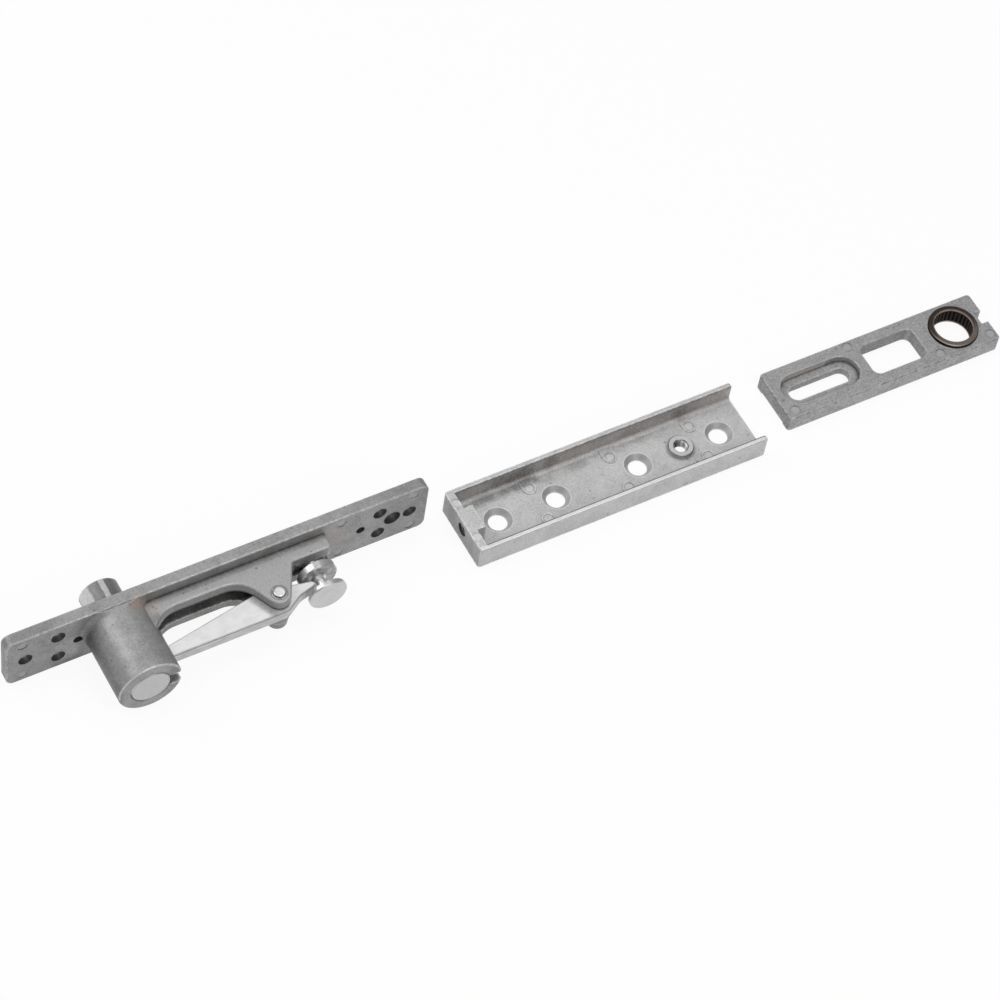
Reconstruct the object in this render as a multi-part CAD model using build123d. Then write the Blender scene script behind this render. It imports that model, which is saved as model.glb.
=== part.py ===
from build123d import *

import math
import os

# Centre-hung pivot hinge for a glass door, taken apart in a row along X: frame half, door channel, arm.
# Millimetres, +Z up. Origin: middle of the whole row, at the level that everything lies on.

# Frame half: face plate on its long edge, with its front face and the barrel towards -Y.
PLATE_LENGTH = 211.0
PLATE_WIDTH = 31.75
PLATE_THICKNESS = 6.0
PLATE_CORNER_RADIUS = 4.0
PLATE_EDGE_RADIUS = 0.6

# Plate holes, as distances from the nearer plate end and from the plate's centre line.
SCREW_HOLE_RADIUS = 3.3
SCREW_SINK_RADIUS = 6.0
END_SCREW_INSET = 9.2
INNER_SCREW_INSET = 25.1
INNER_SCREW_OFFSET = 7.7
PILOT_HOLE_RADIUS = 2.1
PILOT_HOLE_INSET = 34.6
RELIEF_HOLE_RADIUS = 4.1
RELIEF_HOLE_INSET = 18.2

# Barrel and sliding pin.
PIN_RADIUS = 9.525
PIN_CLEARANCE = 0.05
PIN_REACH = 13.7
PIN_CHAMFER = 0.5
PIN_END_CHAMFER = 0.5
PIN_GROOVE_START = 0.2
PIN_GROOVE_WIDTH = 1.0
PIN_GROOVE_DEPTH = 0.3
PIN_FROM_END = 53.4
BARREL_RADIUS = 15.5
BARREL_HEIGHT = 36.2
BARREL_RIM_RADIUS = 1.4
BARREL_FLARE_RADIUS = 3.0
BORE_MOUTH_CHAMFER = 0.6

# Two cheeks with an ear for the rivet, and the tapped block at their end.
CHEEK_THICKNESS = 5.5
CHEEK_GAP = 7.5
CHEEK_EDGE_RADIUS = 1.1
ARCH_FROM_PIN = 11.0
ARCH_RISE = 7.0
ARCH_LEFT_RADIUS = 15.0
ARCH_RIGHT_RADIUS = 14.0
EAR_RADIUS = 5.6
EAR_LEFT_ANGLE = 63.4
EAR_RIGHT_ANGLE = 62.1
EAR_ROOT_RADIUS = 1.5
RIVET_FROM_PIN = 70.7
RIVET_HEIGHT = 20.3
BLOCK_RISE = 7.7
BLOCK_LENGTH = 16.4
BLOCK_FROM_SCREW = 10.3
BLOCK_SET_BACK = 2.0
CHEEK_END_RADIUS = 2.0

# Walking-beam lever.
LEVER_THICKNESS = 6.35
LEVER_TIP_WIDTH = 5.8
LEVER_TIP_HEIGHT = 24.4
LEVER_HUB_FRONT = 7.0
LEVER_HUB_BACK = 7.8
LEVER_BEND_RADIUS = 6.0
LEVER_NOSE_WIDTH = 2.4
LEVER_NOSE_HEIGHT = 18.7
LEVER_NOSE_GAP = 1.4
LEVER_PLAY = 0.12
LEVER_SIDE_RUN = 15.0
LEVER_BEND_OFFSET = 1.9
LEVER_SHOULDER_OFFSET = 10.5
LEVER_SHOULDER_HEIGHT = 21.9
LEVER_HEEL_OFFSET = 5.1
LEVER_EDGE_CHAMFER = 0.3
LEVER_SLOT_CLEARANCE = 0.6
LEVER_FACE_CLEARANCE = 0.3
NOTCH_FLARE_ANGLE = 14.0
ROUND_END_SHARE = 0.95

# Rivet.
RIVET_RADIUS = 3.05
RIVET_CLEARANCE = 0.05
RIVET_PROUD = 0.9
RIVET_HEAD_RADIUS = 5.0
RIVET_HEAD_HEIGHT = 5.0
RIVET_HEAD_ROUND = 0.3

# Adjusting screw with its spool head.
SCREW_FROM_PIN = 93.6
SCREW_RADIUS = 4.0
SCREW_CLEARANCE = 0.1
SCREW_FACE_HEIGHT = 25.8
SCREW_FLANGE_RADIUS = 9.4
SCREW_FLANGE_RIM = 2.2
SCREW_FLANGE_CONE = 1.3
SCREW_INNER_FLANGE_HEIGHT = 15.7
SCREW_INNER_FLANGE_THICKNESS = 4.1
SCREW_NECK_RADIUS = 2.5
SCREW_TAIL_SINK = 3.6
SCREW_SLOT_WIDTH = 1.4
SCREW_SLOT_DEPTH = 1.5
SCREW_EDGE_CHAMFER = 0.5
SCREW_NECK_FLARE = 1.5

# Door channel.
CHANNEL_LENGTH = 156.2
CHANNEL_WIDTH = 36.3
CHANNEL_HEIGHT = 13.7
CHANNEL_WALL = 2.3
CHANNEL_FLOOR = 3.2
CHANNEL_END_WALL = 4.4
CHANNEL_CORNER_RADIUS = 1.5
CHANNEL_MOUTH_RADIUS = 1.6
CHANNEL_FOOT_RADIUS = 2.0
CHANNEL_EDGE_RADIUS = 0.4
END_BOSS_LENGTH = 9.0
END_BOSS_WIDTH = 13.6
FLOOR_HOLE_RADIUS = 4.65
FLOOR_SINK_RADIUS = 6.8
FLOOR_HOLES_FROM_BOSS_END = (20.2, 51.4)
FLOOR_HOLES_FROM_MOUTH = (60.1, 15.2)
TAPPED_HOLE_RADIUS = 3.4
TAPPED_MOUTH_CHAMFER = 0.7
END_HOLE_HEIGHT = 7.0

# Pressed threaded insert in the channel floor.
INSERT_FROM_MOUTH = 36.7
INSERT_COLLAR_RADIUS = 6.3
INSERT_COLLAR_HEIGHT = 2.4
INSERT_SHANK_RADIUS = 4.6
INSERT_CLEARANCE = 0.02
INSERT_EDGE_CHAMFER = 0.5

# Arm with the bearing eye.
ARM_LENGTH = 122.0
ARM_WIDTH = 29.7
ARM_HEIGHT = 9.1
ARM_CORNER_RADIUS = 1.6
ARM_EDGE_RADIUS = 0.5
ARM_RAIL_WIDTH = 5.0
ARM_RELIEF_DEPTH = 0.8
SEAT_FROM_END = 4.8
SEAT_LENGTH = 42.6
SEAT_WIDTH = 17.4
SEAT_DEPTH = 3.8
SLOT_WIDTH = 8.9
WINDOW_FROM_SEAT = 5.5
WINDOW_FROM_BEARING = 19.8
WINDOW_WIDTH = 18.2
WINDOW_CORNER_RADIUS = 4.0
NOTCH_WIDTH = 7.0
NOTCH_DEPTH = 3.7

# Drawn-cup needle bearing in the arm's eye.
BEARING_FROM_END = 18.7
CUP_RADIUS = 12.7
CUP_WALL = 1.05
CUP_LIP_RADIUS = 9.8
CUP_LIP_THICKNESS = 0.8
CUP_PROUD = 1.7
CUP_EDGE_RADIUS = 0.9
CUP_CLEARANCE = 0.01
CUP_BASE = 1.4
ROLLER_RADIUS = 1.0
ROLLER_COUNT = 31
ROLLER_CLEARANCE = 0.02
ROLLER_END_PLAY = 0.15

# Shallow round marks that the ejector pins leave: runs are from the mouth or the bearing end.
MARK_RADIUS = 2.5
MARK_DEPTH = 0.25
PLATE_MARK_INSET = 7.8
PLATE_MARK_RUN = 45.2
PLATE_MARK_OFFSET = 11.7
CHANNEL_PAD_RADIUS = 3.3
CHANNEL_PAD_RISE = 0.35
CHANNEL_MARK_OFFSET = 9.4
CHANNEL_MARK_RUNS = (114.2, 70.4, 26.5)
END_WALL_MARK_RUN = 2.3
END_WALL_MARKS = (10.3, -10.3)
ARM_MARKS = ((116.8, -10.6), (73.5, 11.6), (3.4, -10.6), (32.8, -10.6))

# How the three pieces lie in the row.
GAP_PLATE_CHANNEL = 11.4
GAP_CHANNEL_ARM = 17.9
CHANNEL_BEHIND_FACE = 14.15
ARM_BEHIND_CHANNEL = 3.98

# Places worked out from the sizes above.
ROW_LENGTH = PLATE_LENGTH + GAP_PLATE_CHANNEL + CHANNEL_LENGTH + GAP_CHANNEL_ARM + ARM_LENGTH
ROW_DEPTH = BARREL_HEIGHT + PLATE_THICKNESS + PIN_REACH
PLATE_LEFT = -ROW_LENGTH / 2
CHANNEL_LEFT = PLATE_LEFT + PLATE_LENGTH + GAP_PLATE_CHANNEL
CHANNEL_RIGHT = CHANNEL_LEFT + CHANNEL_LENGTH
INSERT_X = CHANNEL_RIGHT - INSERT_FROM_MOUTH
ARM_LEFT = CHANNEL_RIGHT + GAP_CHANNEL_ARM
FACE_Y = BARREL_HEIGHT - ROW_DEPTH / 2
CHANNEL_Y = FACE_Y - CHANNEL_BEHIND_FACE
ARM_Y = CHANNEL_Y + ARM_BEHIND_CHANNEL
MID_Z = PLATE_WIDTH / 2
CHEEK_TOP = MID_Z + CHEEK_GAP / 2 + CHEEK_THICKNESS
CHEEK_BOTTOM = MID_Z - CHEEK_GAP / 2 - CHEEK_THICKNESS
SLOT_HALF = LEVER_THICKNESS / 2 + LEVER_FACE_CLEARANCE
RIVET_U = PIN_FROM_END + RIVET_FROM_PIN
SCREW_U = PIN_FROM_END + SCREW_FROM_PIN
BLOCK_RIGHT = SCREW_U + BLOCK_FROM_SCREW
BEARING_X = ARM_LEFT + ARM_LENGTH - BEARING_FROM_END
OVERCUT = 1.0


def on_face(height=0.0):
    """Plane of the plate's front face: local x along the plate, local y up, normal out of the face."""
    return Plane(origin=(PLATE_LEFT, FACE_Y - height, 0), x_dir=(1, 0, 0), z_dir=(0, -1, 0))


def level(z):
    """Level plane over the frame half: local x along the plate, local y out of its face, normal down."""
    return Plane(origin=(PLATE_LEFT, FACE_Y, z), x_dir=(1, 0, 0), z_dir=(0, 0, -1))


def face_cylinder(u, z, radius, low, high):
    """Cylinder square to the plate at (u, z), from height low to height high out of the front face."""
    return extrude(on_face(low) * Pos(u, z) * Circle(radius), high - low)


def face_revolve(u, z, profile):
    """Turn a profile of (radius, height) points about the axis square to the plate at (u, z)."""
    axis_plane = Plane(
        origin=(PLATE_LEFT + u, FACE_Y, z), x_dir=(1, 0, 0), z_dir=(0, 0, -1)
    )
    outline = make_face(Polyline(*profile, close=True))
    axis = Axis((PLATE_LEFT + u, FACE_Y, z), (0, -1, 0))
    return revolve(axis_plane * outline, axis)


def upright_revolve(x, y, profile):
    """Turn a profile of (radius, z) points about the vertical axis at (x, y)."""
    outline = make_face(Polyline(*profile, close=True))
    section = Plane(origin=(x, y, 0), x_dir=(1, 0, 0), z_dir=(0, -1, 0)) * outline
    return revolve(section, Axis((x, y, 0), (0, 0, 1)))


def block(x0, x1, y0, y1, z0, z1):
    """Rectangular block between two corners."""
    centre = Pos((x0 + x1) / 2, (y0 + y1) / 2, (z0 + z1) / 2)
    return centre * Box(x1 - x0, y1 - y0, z1 - z0)


def upright_cylinder(x, y, radius, z0, z1):
    """Vertical cylinder between two levels."""
    return Pos(x, y, (z0 + z1) / 2) * Cylinder(radius, z1 - z0)


def corner_fillet(outline, radii):
    """Round the corners of a flat outline, given as {(x, y): radius}."""
    for (x, y), radius in radii.items():
        corner = outline.vertices().sort_by_distance((x, y, 0))[0]
        outline = fillet(corner, radius)
    return outline


def plate_screw_places():
    """Centres of the countersunk plate holes, as (along the plate, height)."""
    far_end = PLATE_LENGTH - END_SCREW_INSET
    far_inner = PLATE_LENGTH - INNER_SCREW_INSET
    places = [(END_SCREW_INSET, MID_Z), (far_end, MID_Z)]
    for u in (INNER_SCREW_INSET, far_inner):
        for side in (-1, 1):
            places.append((u, MID_Z + side * INNER_SCREW_OFFSET))
    return places


def face_plate():
    """Drilled face plate with rounded corners and softened edges."""
    outline = Pos(PLATE_LENGTH / 2, MID_Z) * RectangleRounded(PLATE_LENGTH, PLATE_WIDTH, PLATE_CORNER_RADIUS)
    plate = extrude(on_face(-PLATE_THICKNESS) * outline, PLATE_THICKNESS)
    faces = plate.faces().sort_by(Axis.Y)
    return fillet(faces[0].edges() + faces[-1].edges(), PLATE_EDGE_RADIUS)


def plate_holes():
    """Everything that is drilled through the plate, as solids to cut."""
    back = -PLATE_THICKNESS
    sink_depth = SCREW_SINK_RADIUS - SCREW_HOLE_RADIUS
    holes = []
    for u, z in plate_screw_places():
        profile = [
            (0, OVERCUT),
            (SCREW_HOLE_RADIUS, OVERCUT),
            (SCREW_HOLE_RADIUS, back + sink_depth),
            (SCREW_SINK_RADIUS, back),
            (SCREW_SINK_RADIUS, back - OVERCUT),
            (0, back - OVERCUT),
        ]
        holes.append(face_revolve(u, z, profile))
    for u in (PILOT_HOLE_INSET, PLATE_LENGTH - PILOT_HOLE_INSET):
        holes.append(face_cylinder(u, MID_Z, PILOT_HOLE_RADIUS, back - OVERCUT, OVERCUT))
    relief_u = PLATE_LENGTH - RELIEF_HOLE_INSET
    holes.append(face_cylinder(relief_u, MID_Z, RELIEF_HOLE_RADIUS, back - OVERCUT, OVERCUT))
    mark_rows = (PLATE_MARK_INSET, PLATE_LENGTH - PLATE_MARK_INSET, PLATE_LENGTH - PLATE_MARK_RUN)
    for u in mark_rows:
        for side in (-1, 1):
            z = MID_Z + side * PLATE_MARK_OFFSET
            holes.append(face_cylinder(u, z, MARK_RADIUS, -MARK_DEPTH, OVERCUT))
    return holes


def barrel():
    """Barrel with a rounded rim and a flared foot that stays within the plate's width."""
    rim = BARREL_RIM_RADIUS
    tube = face_cylinder(PIN_FROM_END, MID_Z, BARREL_RADIUS, -OVERCUT, BARREL_HEIGHT)
    tube = fillet(tube.faces().sort_by(Axis.Y)[0].edges(), rim)
    flare = BARREL_FLARE_RADIUS
    foot = make_face(
        [
            Line((BARREL_RADIUS - OVERCUT, 0), (BARREL_RADIUS + flare, 0)),
            RadiusArc((BARREL_RADIUS + flare, 0), (BARREL_RADIUS, flare), flare),
            Line((BARREL_RADIUS, flare), (BARREL_RADIUS - OVERCUT, flare)),
            Line((BARREL_RADIUS - OVERCUT, flare), (BARREL_RADIUS - OVERCUT, 0)),
        ]
    )
    section = Plane(
        origin=(PLATE_LEFT + PIN_FROM_END, FACE_Y, MID_Z), x_dir=(1, 0, 0), z_dir=(0, 0, -1)
    )
    axis = Axis((PLATE_LEFT + PIN_FROM_END, FACE_Y, MID_Z), (0, -1, 0))
    ring = revolve(section * foot, axis)
    band = block(
        PLATE_LEFT,
        PLATE_LEFT + PLATE_LENGTH,
        FACE_Y - BARREL_HEIGHT,
        FACE_Y,
        PLATE_EDGE_RADIUS,
        PLATE_WIDTH - PLATE_EDGE_RADIUS,
    )
    return tube + (ring & band)


def cheek_outline():
    """Outline of one cheek seen from above: arch beside the barrel, ear round the rivet, low end strip."""
    left = math.radians(EAR_LEFT_ANGLE)
    right = math.radians(EAR_RIGHT_ANGLE)
    left_normal = (-math.sin(left), math.cos(left))
    right_normal = (math.sin(right), math.cos(right))
    left_touch = (RIVET_U + EAR_RADIUS * left_normal[0], RIVET_HEIGHT + EAR_RADIUS * left_normal[1])
    right_touch = (RIVET_U + EAR_RADIUS * right_normal[0], RIVET_HEIGHT + EAR_RADIUS * right_normal[1])
    arch_end = left_touch[0] - (left_touch[1] - ARCH_RISE) / math.tan(left)
    strip_end = right_touch[0] + (right_touch[1] - BLOCK_RISE) / math.tan(right)
    half_turn = (left + right) / 2
    lean = (right - left) / 2
    tip_reach = EAR_RADIUS / math.cos(half_turn)
    tip = (RIVET_U + tip_reach * math.sin(lean), RIVET_HEIGHT + tip_reach * math.cos(lean))
    arch_start = PIN_FROM_END + ARCH_FROM_PIN
    barrel_top = ARCH_RISE + ARCH_LEFT_RADIUS + OVERCUT
    outline = make_face(
        Polyline(
            (PIN_FROM_END, -OVERCUT),
            (BLOCK_RIGHT, -OVERCUT),
            (BLOCK_RIGHT, BLOCK_RISE),
            (strip_end, BLOCK_RISE),
            tip,
            (arch_end, ARCH_RISE),
            (arch_start, ARCH_RISE),
            (arch_start, barrel_top),
            (PIN_FROM_END, barrel_top),
            close=True,
        )
    )
    radii = {
        (BLOCK_RIGHT, BLOCK_RISE): CHEEK_END_RADIUS,
        (strip_end, BLOCK_RISE): EAR_ROOT_RADIUS,
        tip: EAR_RADIUS,
        (arch_end, ARCH_RISE): ARCH_RIGHT_RADIUS,
        (arch_start, ARCH_RISE): ARCH_LEFT_RADIUS,
    }
    return corner_fillet(outline, radii)


def cheek(top_z, outer_is_up):
    """One cheek, hanging down from top_z, with the outer rim of its free edge rounded."""
    solid = extrude(level(top_z) * cheek_outline(), CHEEK_THICKNESS)
    outer = solid.faces().sort_by(Axis.Z)[-1 if outer_is_up else 0]
    rim = [
        edge
        for edge in outer.edges()
        if edge.center().Y < FACE_Y - OVERCUT and edge.center().X > PLATE_LEFT + PIN_FROM_END + PIN_RADIUS
    ]
    return fillet(rim, CHEEK_EDGE_RADIUS)


def end_block():
    """Solid block set back between the cheeks at their far end, which takes the screw's thread."""
    right = BLOCK_RIGHT - BLOCK_SET_BACK
    overlap = CHEEK_THICKNESS / 2
    return block(
        PLATE_LEFT + right - BLOCK_LENGTH,
        PLATE_LEFT + right,
        FACE_Y - BLOCK_RISE + BLOCK_SET_BACK,
        FACE_Y + OVERCUT,
        MID_Z - CHEEK_GAP / 2 - overlap,
        MID_Z + CHEEK_GAP / 2 + overlap,
    )


def frame_casting():
    """Face plate, barrel, cheeks and end block in one casting, with its bores and its lever slot."""
    casting = face_plate() + barrel()
    casting += cheek(CHEEK_TOP, True)
    casting += cheek(CHEEK_BOTTOM + CHEEK_THICKNESS, False)
    casting += end_block()
    bore_radius = PIN_RADIUS + PIN_CLEARANCE
    back = -PLATE_THICKNESS - OVERCUT
    casting -= face_cylinder(PIN_FROM_END, MID_Z, bore_radius, back, BARREL_HEIGHT + OVERCUT)
    mouth = [
        (0, BARREL_HEIGHT - BORE_MOUTH_CHAMFER),
        (bore_radius, BARREL_HEIGHT - BORE_MOUTH_CHAMFER),
        (bore_radius + BORE_MOUTH_CHAMFER, BARREL_HEIGHT),
        (0, BARREL_HEIGHT),
    ]
    casting -= face_revolve(PIN_FROM_END, MID_Z, mouth)
    slot_start = LEVER_TIP_HEIGHT - LEVER_TIP_WIDTH / 2 - LEVER_SLOT_CLEARANCE
    casting -= block(
        PLATE_LEFT + PIN_FROM_END,
        PLATE_LEFT + PIN_FROM_END + BARREL_RADIUS + OVERCUT,
        FACE_Y - BARREL_HEIGHT - OVERCUT,
        FACE_Y - slot_start,
        MID_Z - SLOT_HALF,
        MID_Z + SLOT_HALF,
    )
    rivet_hole = RIVET_RADIUS + RIVET_CLEARANCE
    casting -= upright_cylinder(
        PLATE_LEFT + RIVET_U,
        FACE_Y - RIVET_HEIGHT,
        rivet_hole,
        CHEEK_BOTTOM - OVERCUT,
        CHEEK_TOP + OVERCUT,
    )
    screw_hole = SCREW_RADIUS + SCREW_CLEARANCE
    casting -= face_cylinder(SCREW_U, MID_Z, screw_hole, back, BLOCK_RISE + OVERCUT)
    for hole in plate_holes():
        casting -= hole
    return casting


def pivot_pin():
    """Sliding pin with a chamfered tip, a grinding groove behind it and a flared side notch for the lever."""
    tip = -PLATE_THICKNESS - PIN_REACH
    groove_top = -PLATE_THICKNESS - PIN_GROOVE_START
    groove_bottom = groove_top - PIN_GROOVE_WIDTH
    groove_radius = PIN_RADIUS - PIN_GROOVE_DEPTH
    profile = [
        (0, tip),
        (PIN_RADIUS - PIN_CHAMFER, tip),
        (PIN_RADIUS, tip + PIN_CHAMFER),
        (PIN_RADIUS, groove_bottom),
        (groove_radius, groove_bottom),
        (groove_radius, groove_top),
        (PIN_RADIUS, groove_top),
        (PIN_RADIUS, BARREL_HEIGHT - PIN_END_CHAMFER),
        (PIN_RADIUS - PIN_END_CHAMFER, BARREL_HEIGHT),
        (0, BARREL_HEIGHT),
    ]
    pin = face_revolve(PIN_FROM_END, MID_Z, profile)
    half = LEVER_TIP_WIDTH / 2 + LEVER_PLAY
    floor = PIN_FROM_END - LEVER_TIP_WIDTH / 2 - LEVER_SLOT_CLEARANCE
    mouth = PIN_FROM_END + PIN_RADIUS + OVERCUT
    throat = PIN_FROM_END + LEVER_PLAY
    flare = (mouth - throat) * math.tan(math.radians(NOTCH_FLARE_ANGLE))
    notch = make_face(
        Polyline(
            (floor, LEVER_TIP_HEIGHT - half),
            (throat, LEVER_TIP_HEIGHT - half),
            (mouth, LEVER_TIP_HEIGHT - half - flare),
            (mouth, LEVER_TIP_HEIGHT + half),
            (floor, LEVER_TIP_HEIGHT + half),
            close=True,
        )
    )
    return pin - extrude(level(MID_Z + SLOT_HALF) * notch, 2 * SLOT_HALF)


def lever():
    """Flat walking beam: rounded tip in the pin, hub on the rivet, slim nose in the screw's spool."""
    tip_left = PIN_FROM_END - LEVER_TIP_WIDTH / 2
    tip_back = LEVER_TIP_HEIGHT - LEVER_TIP_WIDTH / 2
    tip_front = LEVER_TIP_HEIGHT + LEVER_TIP_WIDTH / 2
    nose_end = SCREW_U - SCREW_NECK_RADIUS - LEVER_NOSE_GAP
    nose_back = LEVER_NOSE_HEIGHT - LEVER_NOSE_WIDTH / 2
    nose_front = LEVER_NOSE_HEIGHT + LEVER_NOSE_WIDTH / 2
    bend = (RIVET_U + LEVER_BEND_OFFSET, RIVET_HEIGHT + LEVER_HUB_FRONT)
    shoulder = (RIVET_U + LEVER_SHOULDER_OFFSET, LEVER_SHOULDER_HEIGHT)
    heel = (RIVET_U - LEVER_HEEL_OFFSET, RIVET_HEIGHT - LEVER_HUB_BACK)
    outline = make_face(
        Polyline(
            (tip_left, tip_back),
            (tip_left, tip_front),
            bend,
            shoulder,
            (nose_end, nose_front),
            (nose_end, nose_back),
            heel,
            (PIN_FROM_END + LEVER_SIDE_RUN, tip_back),
            close=True,
        )
    )
    tip_radius = LEVER_TIP_WIDTH / 2 * ROUND_END_SHARE
    nose_radius = LEVER_NOSE_WIDTH / 2 * ROUND_END_SHARE
    radii = {
        (tip_left, tip_back): tip_radius,
        (tip_left, tip_front): tip_radius,
        bend: LEVER_BEND_RADIUS,
        shoulder: LEVER_BEND_RADIUS,
        (nose_end, nose_front): nose_radius,
        (nose_end, nose_back): nose_radius,
        heel: LEVER_BEND_RADIUS,
    }
    outline = corner_fillet(outline, radii)
    bar = extrude(level(MID_Z + LEVER_THICKNESS / 2) * outline, LEVER_THICKNESS)
    flats = bar.faces().sort_by(Axis.Z)
    bar = chamfer(flats[0].edges() + flats[-1].edges(), LEVER_EDGE_CHAMFER)
    return bar - upright_cylinder(
        PLATE_LEFT + RIVET_U,
        FACE_Y - RIVET_HEIGHT,
        RIVET_RADIUS + RIVET_CLEARANCE,
        MID_Z - LEVER_THICKNESS,
        MID_Z + LEVER_THICKNESS,
    )


def lever_rivet():
    """Rivet through both cheeks: button head under the lower one, domed end over the upper one."""
    x = PLATE_LEFT + RIVET_U
    y = FACE_Y - RIVET_HEIGHT
    shank = upright_cylinder(x, y, RIVET_RADIUS, CHEEK_BOTTOM, CHEEK_TOP + RIVET_PROUD)
    shank = fillet(shank.faces().sort_by(Axis.Z)[-1].edges(), RIVET_PROUD * ROUND_END_SHARE)
    head = upright_cylinder(x, y, RIVET_HEAD_RADIUS, CHEEK_BOTTOM - RIVET_HEAD_HEIGHT, CHEEK_BOTTOM)
    head = fillet(head.faces().sort_by(Axis.Z)[0].edges(), RIVET_HEAD_HEIGHT * RIVET_HEAD_ROUND)
    return shank + head


def adjusting_screw():
    """Turned screw: outer flange with a coned back, slim neck, inner flange, threaded shank, slotted tail."""
    face = SCREW_FACE_HEIGHT
    rim_back = face - SCREW_FLANGE_RIM
    cone_back = rim_back - SCREW_FLANGE_CONE
    inner_face = SCREW_INNER_FLANGE_HEIGHT
    inner_back = inner_face - SCREW_INNER_FLANGE_THICKNESS
    soft = SCREW_EDGE_CHAMFER
    flare = SCREW_NECK_FLARE
    tail = SCREW_TAIL_SINK - PLATE_THICKNESS
    profile = [
        (0, face),
        (SCREW_FLANGE_RADIUS - soft, face),
        (SCREW_FLANGE_RADIUS, face - soft),
        (SCREW_FLANGE_RADIUS, rim_back),
        (SCREW_NECK_RADIUS + flare, cone_back),
        (SCREW_NECK_RADIUS, cone_back - flare),
        (SCREW_NECK_RADIUS, inner_face + flare),
        (SCREW_NECK_RADIUS + flare, inner_face),
        (SCREW_FLANGE_RADIUS - soft, inner_face),
        (SCREW_FLANGE_RADIUS, inner_face - soft),
        (SCREW_FLANGE_RADIUS, inner_back + soft),
        (SCREW_FLANGE_RADIUS - soft, inner_back),
        (SCREW_RADIUS, inner_back),
        (SCREW_RADIUS, tail + soft),
        (SCREW_RADIUS - soft, tail),
        (0, tail),
    ]
    screw = face_revolve(SCREW_U, MID_Z, profile)
    x = PLATE_LEFT + SCREW_U
    y = FACE_Y - tail
    half = SCREW_SLOT_WIDTH / 2
    slot = block(
        x - SCREW_RADIUS - OVERCUT,
        x + SCREW_RADIUS + OVERCUT,
        y - SCREW_SLOT_DEPTH,
        y + OVERCUT,
        MID_Z - half,
        MID_Z + half,
    )
    return screw - slot


def ejector_pad(x, side):
    """Low pad that runs out from a channel wall and ends in a half round."""
    y = CHANNEL_Y + side * CHANNEL_MARK_OFFSET
    in_wall = CHANNEL_Y + side * (CHANNEL_WIDTH - CHANNEL_WALL) / 2
    bottom = CHANNEL_FLOOR / 2
    top = CHANNEL_FLOOR + CHANNEL_PAD_RISE
    near = min(y, in_wall)
    far = max(y, in_wall)
    run = block(x - CHANNEL_PAD_RADIUS, x + CHANNEL_PAD_RADIUS, near, far, bottom, top)
    return run + upright_cylinder(x, y, CHANNEL_PAD_RADIUS, bottom, top)


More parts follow.
